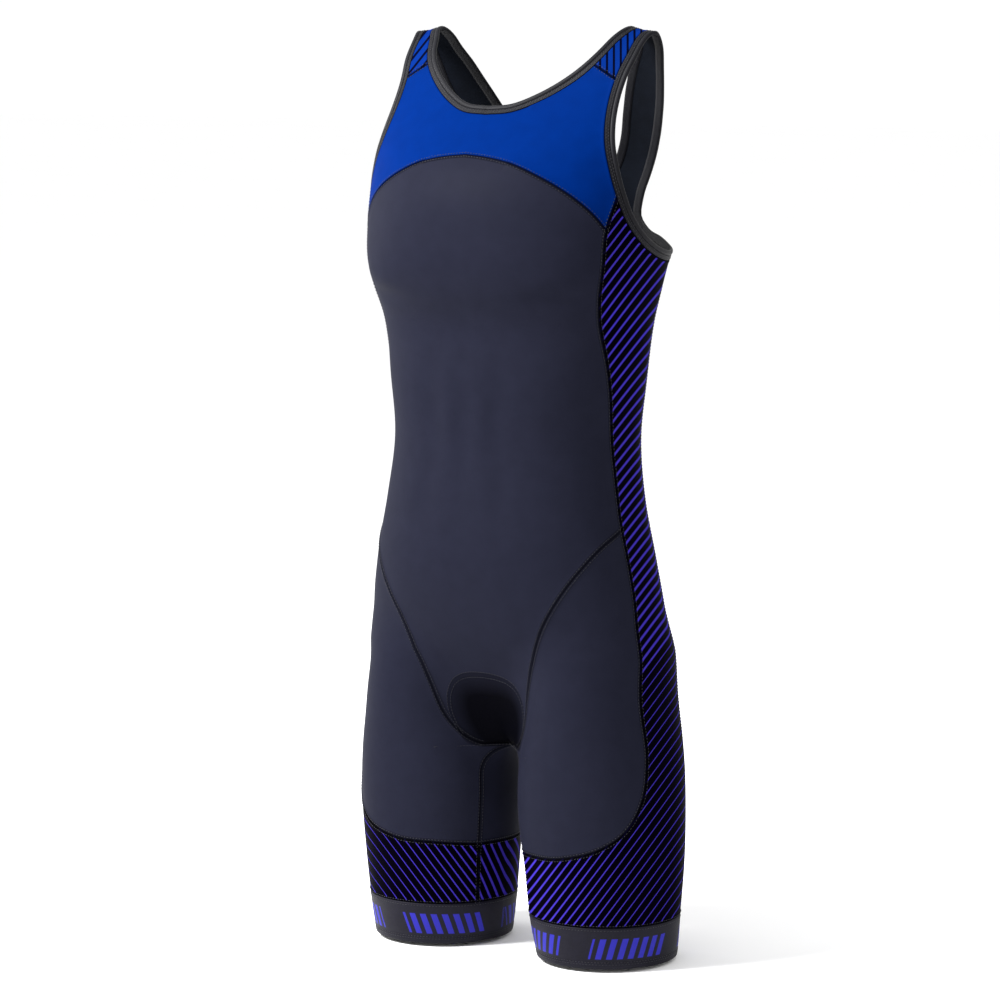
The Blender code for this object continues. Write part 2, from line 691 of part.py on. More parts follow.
def make_panels(form, seams):
    """Every cut panel of the suit."""
    s = seams
    yoke = joined(s.arc, s.side_yoke[::-1], s.arm_yoke[::-1], s.strap_front[::-1], s.neck_front[::-1])
    front = joined(s.arc, s.side_front, s.vee_front, s.seat_front)
    back_side = [flipped(line) for line in (s.arm_back[::-1], s.side_back, s.vee_back, s.seat_back)]
    back = joined(s.neck_back[::-1], s.strap_back, *back_side)
    for name, half, cloth in (("yoke", yoke, "yoke_lycra"), ("front_panel", front, "body_lycra"),
                              ("back_panel", back, "body_lycra")):
        add_object(name, *cut_panel(form, joined(half, mirrored(half))), cloth)
    strap = joined(s.strap_front, s.arm_strap_front[::-1], flipped(s.arm_strap_back[::-1]),
                   s.strap_back[::-1], s.neck_strap[::-1])
    side = joined(s.arm_side, s.side_back, s.side_thigh_back, whole_round(s.inseam_band), s.cuff,
                  s.inseam_band[::-1], s.side_thigh[::-1], s.side_front[::-1], s.side_yoke[::-1])
    thigh_front = joined(s.seat_front, s.vee_front[::-1], s.side_thigh, s.inseam[::-1])
    thigh_back = joined(s.seat_back, s.vee_back[::-1], s.side_thigh_back, whole_round(s.inseam[::-1]))
    for name, outline, cloth, leg in (("strap", strap, "strap_lycra", False),
                                      ("side", side, "striped_lycra", True),
                                      ("thigh_front", thigh_front, "body_lycra", True),
                                      ("thigh_back", thigh_back, "body_lycra", True)):
        add_pair(name, *cut_panel(form, outline, leg), cloth)


def looped(rings):
    """A closed ring of cloth from equal closed sections, one after the other."""
    count, size = len(rings), len(rings[0])
    faces = []
    for k in range(count):
        for j in range(size):
            a, b = k * size + j, k * size + (j + 1) % size
            c, d = (k + 1) % count * size + (j + 1) % size, (k + 1) % count * size + j
            faces.append((a, b, c, d))
    return np.concatenate(rings), faces


def banded(form, line, section):
    """A binding along a free edge, from its section's points across and above."""
    columns = []
    for across, above in section:
        edge = shifted(form, line, -across, closed=True, rounds=3) if across else line
        columns.append(form.at(edge) + above * form.slopes(edge)[2])
    return looped(list(np.stack(columns, axis=1)))


def binding_section():
    """The folded knit strip: a round roll at the free edge, and a flat sewn flange."""
    width, under, ease = BINDING_WIDTH - SEAM_GAP / 2, WALL + BINDING_PROUD, BINDING_EASE
    roll = BINDING_ROLL_WIDTH
    return ((0, -0.3 * WALL), (ease, BINDING_ROLL), (roll, BINDING_ROLL),
            (roll + ease / 2, BINDING_PROUD), (width, BINDING_PROUD), (width, -under),
            (roll, -under), (ease, -under), (0, -0.8 * WALL))


def make_bindings(form, seams):
    """The knit bindings of the neck and the armholes."""
    section = binding_section()
    neck = joined(seams.neck, mirrored(seams.neck))
    add_object("neck_binding", *banded(form, neck, section), "binding_knit")
    points, faces = banded(form, seams.arm[:-1], section)
    add_pair("arm_binding", points, faces, "binding_knit")


def make_grippers(form):
    """The knit band round the hem of each leg."""
    around = np.arange(44) / 44
    levels = np.linspace(GRIPPER_TOP + SEAM_GAP / 2, HEM, 5)
    skins = []
    for above in (GRIPPER_PROUD, -WALL - GRIPPER_PROUD):
        rows = []
        for level in levels:
            pattern = np.column_stack([around, np.full(len(around), level)])
            rows.append(form.at(pattern, True) + above * form.slopes(pattern, True)[2])
        skins.append(rows)
    section = skins[0] + skins[1][::-1]
    points, faces = looped(list(np.stack(section, axis=1)))
    add_pair("gripper", points, faces, "gripper_knit")


def pad_place(form, across, reach):
    """The place on the cloth of a point of the seat pad. The front and the back of
    the suit are blended into each other under the crotch."""
    share = np.clip(reach / 0.05 + 0.5, 0, 1)
    share = (share * share * (3 - 2 * share))[..., None]
    off = np.abs(across) / PATTERN_WIDTH
    crotch = form.crotch_drop
    front = form.at(np.stack([off, crotch - np.maximum(-reach, 0)], -1))
    back = form.at(np.stack([1 - off, crotch - np.maximum(reach, 0)], -1))
    point = front * (1 - share) + back * share
    point[..., 0] = np.abs(point[..., 0]) * np.sign(across)
    return point


def make_seat_pad(form, across_count=11, along_count=26):
    """The padded seat, one soft pad that lies inside the crotch."""
    shape = named_table(PAD_COLUMNS, PAD)
    reach = np.linspace(PAD[0][0], PAD[-1][0], along_count)
    side = np.linspace(-1, 1, across_count)
    width = shape(reach).half_width
    a, r = side[None, :] * width[:, None], np.repeat(reach[:, None], across_count, 1)
    step = 0.002
    by_a = pad_place(form, a + step, r) - pad_place(form, a - step, r)
    by_r = pad_place(form, a, r + step) - pad_place(form, a, r - step)
    normal = np.cross(by_r, by_a)
    normal /= np.linalg.norm(normal, axis=-1, keepdims=True)
    ends = 1 - np.abs(2 * (reach - reach[0]) / (reach[-1] - reach[0]) - 1) ** 6
    crown = (1 - side ** 4)[None, :] * ends[:, None]
    thick = PAD_EDGE + (PAD_MIDDLE - PAD_EDGE) * crown
    outer = pad_place(form, a, r) - (WALL + PAD_CLEARANCE) * normal
    inner = outer - thick[..., None] * normal
    faces = []
    for k in range(along_count - 1):
        for j in range(across_count - 1):
            c = k * across_count + j
            faces.append([c, c + 1, c + across_count + 1, c + across_count])
    points, solid = walled(outer.reshape(-1, 3), inner.reshape(-1, 3), faces)
    add_object("seat_pad", points, solid, "pad_foam")


def start_scene():
    """An empty scene, with the suit's collection and its cloths."""
    for thing in list(bpy.data.objects):
        bpy.data.objects.remove(thing, do_unlink=True)
    collection = bpy.data.collections.new("triathlon_suit")
    bpy.context.scene.collection.children.link(collection)
    for name, colour in COLOURS.items():
        material = bpy.data.materials.new(name)
        material.use_nodes = True
        shader = material.node_tree.nodes["Principled BSDF"]
        shader.inputs["Base Color"].default_value = (*colour, 1)
        shader.inputs["Roughness"].default_value = CLOTH_ROUGHNESS
        shader.inputs["Metallic"].default_value = 0


def main():
    start_scene()
    form = Form()
    seams = Seams(form)
    make_panels(form, seams)
    make_bindings(form, seams)
    make_grippers(form)
    make_seat_pad(form)


if __name__ == "__main__":
    main()
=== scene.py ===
"""The looks of a sleeveless triathlon suit, worn and hollow, with no wearer in it.

Metres, +Z up. The wearer faces -Y and the wearer's left is +X. The suit's form, seams
and free edges are drawn here as the solids draw them, on finer steps. Points of the
form are named by around, from 0 at the centre front past 0.5 at the side to 1 at the
centre back, and by drop, the metres down from the shoulder line.
"""
from collections import namedtuple
from functools import lru_cache
from math import pi, radians

import bmesh
import bpy
import numpy as np
from bpy.props import FloatProperty, FloatVectorProperty, IntProperty, PointerProperty
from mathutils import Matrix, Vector
from mathutils.geometry import delaunay_2d_cdt


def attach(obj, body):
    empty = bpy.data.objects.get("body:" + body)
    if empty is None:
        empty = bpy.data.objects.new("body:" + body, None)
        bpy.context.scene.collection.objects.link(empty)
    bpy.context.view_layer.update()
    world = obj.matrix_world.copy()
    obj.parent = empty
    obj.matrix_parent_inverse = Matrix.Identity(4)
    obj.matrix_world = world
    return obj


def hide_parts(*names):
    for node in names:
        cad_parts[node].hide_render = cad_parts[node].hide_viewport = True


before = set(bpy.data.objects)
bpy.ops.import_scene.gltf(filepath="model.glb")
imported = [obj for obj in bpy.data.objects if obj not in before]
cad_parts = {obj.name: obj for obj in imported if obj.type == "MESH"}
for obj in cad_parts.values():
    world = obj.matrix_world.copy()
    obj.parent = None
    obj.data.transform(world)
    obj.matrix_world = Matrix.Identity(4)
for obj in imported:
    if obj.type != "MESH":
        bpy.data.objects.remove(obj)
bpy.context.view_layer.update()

bl_info = {
    "name": "Triathlon suit",
    "version": (1, 0, 0),
    "blender": (4, 5, 0),
    "location": "3D View > Sidebar > Suit",
    "description": "Sews the visible pieces of a sleeveless triathlon suit round its solids",
    "category": "Object",
}

# Cloth and sewing sizes, as the solids have them
WALL = 0.0015
SEAM_GAP = 0.0003
BINDING_WIDTH = 0.0095
BINDING_PROUD = 0.0006
BINDING_ROLL = 0.0009
BINDING_ROLL_WIDTH = 0.0052
GRIPPER_TOP = 0.885
GRIPPER_PROUD = 0.0004
HEM = 0.928
CROTCH_SEAM = 0.008
PAD_EDGE = 0.0025
PAD_MIDDLE = 0.0075
PAD_CLEARANCE = 0.0012

# How wide the pattern counts from the centre front to the centre back
PATTERN_WIDTH = 0.450
# Where the cloth is drawn on finer cells, from above the crotch to below it and around
SEAT_ABOVE = 0.110
SEAT_BELOW = 0.030
SEAT_AROUND = 0.22

# The shoulder line falls outwards from the straps' inner ends. The fall fades out down
# the body.
STRAP_INNER = 0.112
SHOULDER_SLOPE = 0.17
SLOPE_REACH = 0.120
# Sections are the body's oval alone down to the first of these drops. The body's lower
# end is rounded off between the other two.
OVAL_ABOVE = 0.400
SEAT_START = 0.600
SEAT_END = 0.716
# The leg starts this deep inside the body, and comes up over a reach down to the drop
# where it shows.
LEG_SINK = 0.02
LEG_SHOWS = 0.62
LEG_EMERGES = 0.10
# How the cloth turns over the shoulder line and under the crotch, there only at the
# middle quarters of the pattern and near the crotch, and where the lower body takes over
SHOULDER_ROUND = 0.035
CROTCH_ROUND = 0.060
QUARTER = 0.25
FOLD_NEAR = 0.04
FOLD_FADES = 0.10
LOWER_BODY = 0.45
LOWER_FADES = 0.10
# Levels of the form's sections: the lowest, their step, and how many finer ones lie how
# close to the shoulder line and to the crotch
LOWEST = 0.962
LEVEL_STEP = 0.0025
FINE_LEVELS = 60
SHOULDER_FINE = 0.05
CROTCH_FINE = 0.03
# Drops and depths between which the crotch is looked for
CROTCH_DROPS = (0.66, 0.80)
CROTCH_DEPTHS = (-0.08, 0.04)
# Distances past every side of the suit and past its front and back at the middle, and
# where the middle of the half sections starts
PAST_SUIT = 0.4
PAST_CENTRE = 0.3
MIDDLE_START = 0.02


def thousandths(*rows):
    """A table's rows, with the whole numbers in them taken as thousandths."""
    return [tuple(cell / 1000 if isinstance(cell, int) else cell for cell in row) for row in rows]


# The body's horizontal sections, an oval with its own depth and squareness to
# the front and to the back
BODY_COLUMNS = ("drop", "half_width", "front", "back", "centre", "square_front", "square_back")
BODY = thousandths(
    (0, 172, 0, 0, 0, 2.0, 2.0), (14, 174, 27, 27, -2, 2.0, 2.0), (34, 178, 45, 39, -4, 2.0, 2.0),
    (58, 181, 59, 50, -6, 2.0, 2.1), (83, 181, 77, 62, -7, 2.0, 2.2),
    (110, 177, 99, 75, -8, 2.0, 2.4), (135, 172, 119, 85, -9, 2.0, 2.5),
    (165, 168, 130, 92, -12, 2.1, 2.5), (200, 162, 129, 98, -18, 2.3, 2.5),
    (235, 156, 121, 100, -25, 2.45, 2.4), (258, 151, 110, 101, -29, 2.4, 2.4),
    (286, 145, 96, 100, -30, 2.3, 2.3), (350, 136, 95, 94, -30, 2.3, 2.3),
    (410, 131, 92, 90, -31, 2.3, 2.3), (470, 138, 95, 94, -34, 2.3, 2.3),
    (530, 150, 99, 102, -34, 2.3, 2.3), (590, 160, 86, 110, -33, 2.4, 2.3),
    (650, 162, 63, 110, -29, 2.4, 2.4), (700, 161, 46, 100, -26, 3.0, 2.6),
    (760, 161, 42, 90, -26, 3.0, 2.6),
)

# The leg's sections, an oval of its own centre
LEG_COLUMNS = ("drop", "centre_x", "centre_y", "half_width", "half_depth", "square")
LEG = thousandths(
    (540, 80, -27, 54, 62, 2.1), (600, 93, -27, 64, 76, 2.0), (660, 98, -25, 70, 85, 2.0),
    (700, 99, -23, 76, 86, 2.0), (730, 98, -23, 80, 85, 2.1), (780, 98, -23, 83, 83, 2.1),
    (840, 100, -21, 80, 80, 2.0), (890, 100, -20, 75, 76, 2.0), (925, 101, -18, 70, 72, 2.0),
    (960, 101, -18, 64, 66, 2.0),
)

# How softly the leg flows into the body, from the hip down to the crotch
FILLET_COLUMNS = ("drop", "radius")
FILLET = thousandths((500, 0.0001), (600, 24), (670, 32), (730, 46))

# Free edges and seams. Each row is a point of the line, around and drop, with the mark of
# the seam that meets it there. An end that meets another line is drawn from that line.
NECK_EDGE = thousandths(
    (0, 84), (60, 82), (125, 72), (190, 57), (240, 42, "strap_front"), (287, 24), (328, 0),
    (300, -24), (252, -45, "strap_back"), (208, -68), (172, -92), (132, -122), (86, -150),
    (40, -168), (0, -174),
)
ARM_EDGE = thousandths(
    (425, 0), (393, 24), (346, 60, "strap_front"), (333, 85), (336, 113), (354, 141),
    (374, 164, "side_front"), (404, 186), (446, 203), (507, 216), (583, 222),
    (665, 219, "side_back"), (738, 211), (790, 204), (818, 192), (812, 175), (783, 150),
    (740, 121), (680, 84), (634, 50, "strap_back"), (600, 25), (575, 0),
)
YOKE_ARC = thousandths(
    (0, 129), (50, 131), (110, 136), (180, 148), (250, 165), (305, 183), (342, 199),
)
SIDE_FRONT = thousandths(
    (366, 165), (342, 199, "yoke"), (347, 231), (369, 283), (402, 330), (431, 385), (444, 440),
    (444, 492, "vee"), (446, 550), (437, 606), (432, 664), (437, 720), (422, 758), (385, 788),
    (330, 806), (260, 816), (165, 821), (75, 826),
)
SIDE_BACK = thousandths(
    (665, 219), (658, 262), (650, 310), (645, 365), (642, 430), (641, 492, "vee"), (641, 550),
    (643, 606), (644, 664), (641, 720), (646, 758), (667, 788), (705, 805), (760, 815),
    (840, 821), (960, 826), (1075, 826),
)
VEE_FRONT = thousandths(
    (444, 492), (372, 508), (300, 534), (245, 562), (205, 590), (165, 624), (138, 652),
    (115, 682), (60, 721),
)
VEE_BACK = thousandths(
    (641, 492), (694, 511), (745, 541), (788, 578), (828, 620), (868, 663), (907, 699),
    (945, 721),
)
INSEAM = thousandths(
    (0, 730), (40, 735), (64, 752), (72, 784), (75, 826, "band"), (74, GRIPPER_TOP),
)

# The seat pad's half width along its length, from its front end under the crotch
# to its back end
PAD_COLUMNS = ("reach", "half_width")
PAD = thousandths(
    (-95, 20), (-80, 36), (-55, 42), (-30, 36), (0, 26), (30, 40), (70, 58), (110, 62), (140, 48),
    (155, 26),
)

# How finely seams are drawn, and the drop down to which they are drawn in shoulder steps
SEAM_STEP = 0.005
SHOULDER_STEP = 0.004
SHOULDER_BELOW = 0.045
# Between rows of points, in cells, and how far points keep from a rim, as shares of the
# rim's own distance and of a cell
ROW_PITCH = 0.87
RIM_CLEAR = 0.8
CELL_CLEAR = 0.45
# How much a sharp corner draws a line out, and the angle from which an edge is drawn hard
SHARPEST = 0.4
HARD_EDGE = radians(60)
# Pairs of points and lines that are measured at once
AT_ONCE = 400000
# Where rows of points lie beside a seam
RIM_ROWS = (0.0007, 0.0014, 0.0024, 0.0036, 0.0050)
# Points round a leg band and round the hem that it is sewn to, and points of the round
# stretches of a binding and of the seat oval
GRIPPER_COUNT = 150
CUFF_COUNT = 90
ROLL_COUNT = 13
UNDER_COUNT = 12

# How far the bindings lap over the cloth, the height of their roll's middle as a share of
# the cloth's thickness, how far it stands over its own height, and how square it is
BINDING_LAP = 0.0006
ROLL_MIDDLE = -0.4
ROLL_OVER = 0.0004
ROLL_FULL = 0.8
# The binding's flange: place past its roll, and share of its height. Its sewn edge, rounded
# over and under. Its inner side: place from the free edge, and height over the innermost
# face, the last a share of the whole
FLANGE = ((0.0, 0.1), (0.0005, 0.75), (0.0010, 0.95), (0.0020, 0.8), (0.0030, 0.95))
SEWN_OVER = 0.0002
SEWN_UNDER = 0.0004
INNER_SIDE = ((0.0070, 0.0001), (0.0055, 0.0), (0.0030, 0.0), (0.0010, 0.0))
INNER_START = (0.0002, -0.85)
# Stitch rows: places on the bindings from their free edge, and on the leg bands
BINDING_ROWS = (0.0064, 0.0086)
HEM_ROWS = (GRIPPER_TOP + 0.0026, HEM - 0.0052, HEM - 0.0074)
HEM_CLOTH_ROW = GRIPPER_TOP - 0.0022
# How far a stitch's middle stands over the cloth, in threads: on flat cloth, and on knit
# tape, where it sinks in. How high the stitched dip of a binding is
THREAD_OVER = 0.3
THREAD_SUNK = 0.2
DIP_HEIGHT = 0.9
# Rows of grip dots: share of the way down the leg band, and shift in dots
DOT_ROWS = ((0.25, 0.0), (0.5, 0.5), (0.75, 0.0))
DOT_HEIGHT = 0.4

# The seat pad's points along and across, and how evenly thick it stays towards its ends
# and its sides
PAD_ALONG = 141
PAD_ACROSS = 61
PAD_END = 6
PAD_SIDE = 4
# Channels in the pad: shares of its half width, reaches, width and how they bow
CHANNELS_ALONG = (-0.42, 0.0, 0.42)
CHANNELS_ACROSS = (-0.045, 0.015, 0.075, 0.120)
CHANNEL_WIDTH = 0.0024
CHANNEL_BOW = 0.06
# Over which reach the front and the back of the suit are blended under the crotch
PAD_BLEND = 0.05

# The stitched oval on the outside of the seat: its second row, its reach under the crotch,
# its points, the middle that the second row keeps out of, the depth far outside it, and
# how much of the suit round it is measured
OVAL_TWIN = 0.0045
OVAL_UNDER = 0.010
OVAL_POINTS = 161
OVAL_CORE = 0.020
OVAL_FAR = -30.0
SEAT_WIDE = 0.200
OVAL = (
    (-0.0885, 0.0000), (-0.0880, 0.0100), (-0.0865, 0.0200), (-0.0835, 0.0300), (-0.0780, 0.0390),
    (-0.0700, 0.0450), (-0.0600, 0.0485), (-0.0450, 0.0490), (-0.0200, 0.0430), (0.0050, 0.0370),
    (0.0300, 0.0420), (0.0700, 0.0550), (0.1050, 0.0590), (0.1300, 0.0500), (0.1440, 0.0350),
    (0.1500, 0.0180), (0.1515, 0.0000),
)

# Darkness by millimetres from a seam, on the striped, the printed and the plain cloth: partly the
# seam's own dark band, partly painted shade in its groove
SEAM_DARK_AND_PAINTED_SHADE = {
    "striped": ((0.0, 0.97), (2.0, 0.95), (2.7, 0.0)),
    "printed": ((0.0, 0.93), (1.1, 0.85), (1.8, 0.0)),
    "plain": ((0.0, 0.85), (0.9, 0.50), (2.9, 0.34), (3.8, 0.0)),
}
# Share of the seat's dark colour, which is partly a darker face and partly painted shade that
# deepens into the crotch, and height of its welt, by millimetres inside the oval, and that height
# in heights of the knit
SEAT_DARK_AND_PAINTED_SHADE = ((-0.6, 0.0), (0.3, 0.45), (6.0, 0.60), (20.0, 1.0))
SEAT_WELT = ((-0.8, 0.0), (0.6, 1.0), (3.6, 1.0), (5.0, 0.2), (6.5, 0.2))
WELT_HEIGHT = 6.0

# Soft folds and hollows that the wearer's form gives the front panel: where each lies
# (around, drop), its half sizes there and its height
SOFT_RELIEF = (
    (0.260, 0.266, 0.085, 0.0080, -0.0024), (0.250, 0.250, 0.085, 0.0140, 0.0016),
    (0.110, 0.370, 0.036, 0.0500, -0.0014), (0.120, 0.460, 0.038, 0.0350, -0.0012),
    (0.000, 0.410, 0.030, 0.0900, -0.0010), (0.055, 0.395, 0.026, 0.0300, 0.0008),
    (0.230, 0.380, 0.060, 0.0600, 0.0010),
)

# The printed stripes of each side: their phase over x, y and z in metres and its start,
# where around it holds, the place of a stripe on its pitch, and its share of the pitch on
# the leg by the way round it
Stripes = namedtuple("Stripes", "plane start anchor offset leg")
STRIPES_LEFT = Stripes((106.21, 53.69, -86.54), 63.51, 0.42, 0.66,
                       ((0.08, 0.32), (0.20, 0.25), (0.30, 0.18), (0.40, 0.12), (0.50, 0.10)))
STRIPES_RIGHT = Stripes((81.87, -81.15, -83.43), -58.12, 0.15, 0.72,
                        ((0.00, 0.32), (0.08, 0.24), (0.16, 0.14), (0.30, 0.06)))
# Their share of the pitch down the body, and where the leg's share starts: a phase on the
# left, a drop on the right
STRIPE_TORSO = ((0.20, 0.22), (0.27, 0.25), (0.36, 0.27), (0.45, 0.29), (0.60, 0.31))
STRIPE_THIN = 132.3
STRIPE_THIN_DROP = 0.65
STRIPE_THIN_FADE = 0.02
# The least growth of their phase per metre around, its growth behind, where that starts,
# and the drop down to which the right side's phase is calmed
STRIPE_LEAST = 22.0
STRIPE_BEHIND = 53.7
STRIPE_TURN = 0.61
STRIPE_CALM = 0.62
STRIPE_BLEND = 0.12
# Half the softness of a stripe's edge, in pitches
STRIPE_EDGE = 0.025
# The strap inserts' stripes: phase over x, y and z, and its start
STRAP_LEFT = (123.9, 83.4, -0.5, -9.22)
STRAP_RIGHT = (-97.4, 71.1, -96.2, 13.38)
STRAP_DUTY = 0.33

# The plain dashes printed on the leg bands: their top and bottom, their slant, one dash's
# pitch and share of it, and a group's pitch, share of it and start
MARK_TOP = 0.896
MARK_BOTTOM = 0.917
MARK_SLANT = 0.35
MARK_PITCH = 0.0115
MARK_BAR = 0.55
MARK_GROUP = 0.1185
MARK_SHARE = 0.70
MARK_START = 0.010

# The way round a leg band, as its dashes are spread, and its outer face: share of the way
# down, and height over the cloth
GRIPPER_ROUND = 0.474
GRIPPER_SKIN = ((0.0, -0.0004), (0.012, 0.0002), (0.035, 0.0004), (0.2, 0.0004), (0.4, 0.0005),
                (0.6, 0.0005), (0.80, 0.0004), (0.825, 0.0001), (0.85, 0.0005), (0.90, 0.0006),
                (0.97, 0.0005), (0.992, 0.0001), (1.0, -0.0005))

# Sheen and specular level of the knit, plain and printed
KNIT_ROUGHNESS = 0.55
PLAIN_GLOSS = (0.004, 0.012)
PRINT_GLOSS = (0.0, 0.004)
SHEEN_ROUGHNESS = 0.4
# Colours, linear: a seam's dark band, partly painted shade; the painted highlight on a binding's
# rib tops; the painted shade in a thread's hollows
SEAM_BAND_AND_SHADE_COLOUR = (0.0006, 0.0006, 0.001, 1)
RIB_PAINTED_HIGHLIGHT = (0.022, 0.022, 0.030, 1)
THREAD_PAINTED_SHADE = (0.004, 0.004, 0.006, 1)
# A Wave texture's own wavelength at scale 1
WAVE_LENGTH = pi / 10

# Each piece's cut before it is stretched on: width and length in metres, and its area
# where it isn't a full rectangle
FLAT = {
    "yoke": ((0.271, 0.144), 0.0247),
    "front_panel": ((0.328, 0.549), 0.1353),
    "back_panel": ((0.272, 0.625), 0.1141),
    "strap": ((0.033, 0.102), 0.0019),
    "side": ((0.380, 0.675), 0.0833),
    "thigh_front": ((0.226, 0.314), 0.0361),
    "thigh_back": ((0.223, 0.314), 0.0344),
    "neck_binding": ((0.012, 0.760), None),
    "arm_binding": ((0.012, 0.576), None),
    "gripper": ((0.043, 0.430), None),
}
PAIRED = ("strap", "side", "thigh_front", "thigh_back")

# The studio: its floor, each light's place and width, and the camera
FLOOR = -0.9300
FLOOR_REACH = 30.0
LIGHTS = {"key": ((-1.1, -1.6, 1.2), 0.9), "side": ((-2.6, -0.2, 0.1), 1.4),
          "back": ((1.8, 1.8, 0.8), 1.4)}
CAMERA_PLACE = (2.3345, -3.362, 0.0)
CAMERA_AIM = (0.0, -0.028, -0.472)
CAMERA_LENS = 146.5
CAMERA_SHIFT = -0.019
CAMERA_SENSOR = 36
CAMERA_REACH = 200


def eased(share):
    """A share that starts and ends gently."""
    return share * share * (3 - 2 * share)


def running(steps):
    """The running total of steps along their last axis, from 0."""
    return np.concatenate([np.zeros_like(steps[..., :1]), np.cumsum(steps, axis=-1)], axis=-1)


def following(points):
    """Each point's next one, round a closed line."""
    return np.roll(points, -1, axis=0)


def unit(vectors):
    """The same directions, one metre long."""
    return vectors / np.linalg.norm(vectors, axis=-1, keepdims=True)


def smooth_table(rows):
    """A smooth curve through a table's rows, read at any value of its first column."""
    table = np.array(rows, float)
    x = table[:, :1]
    gap = np.diff(x, axis=0)
    slope = np.diff(table, axis=0) / gap
    lean, wide = (np.concatenate([part[:1], part, part[-1:]]) for part in (slope, gap))
    tangent = (lean[:-1] * wide[1:] + lean[1:] * wide[:-1]) / (wide[:-1] + wide[1:])

    def read(value):
        value = np.clip(np.asarray(value, float), x[0, 0], x[-1, 0])
        row = np.clip(np.searchsorted(x[:, 0], value) - 1, 0, len(gap) - 1)
        h = gap[row]
        s = ((value - x[row, 0]) / gap[row, 0])[..., None]
        return ((1 + 2 * s) * (1 - s) ** 2 * table[row] + s * (1 - s) ** 2 * h * tangent[row]
                + eased(s) * table[row + 1] + s * s * (s - 1) * h * tangent[row + 1])

    return read


def named_table(columns, rows):
    """A smooth curve through a table's rows that gives its columns by their names."""
    row, read = namedtuple("Row", columns), smooth_table(rows)
    return lambda value: row(*np.moveaxis(read(value), -1, 0))


def outside(dx, dy, half_width, front, back, square_front, square_back, past=0, deep=1):
    """How far a point lies outside an oval, along the line from its centre. Past the
    start of its rounded lower end, the oval closes over the deep measure."""
    square = np.where(dy < 0, square_front, square_back)
    depth = np.where(dy < 0, front, back)
    flat = (np.abs(dx) / half_width) ** square + (np.abs(dy) / depth) ** square
    ratio = (flat + (past / deep) ** square) ** (1 / square)
    return np.sqrt(dx * dx + dy * dy + past * past) * (1 - 1 / np.maximum(ratio, 1e-6))


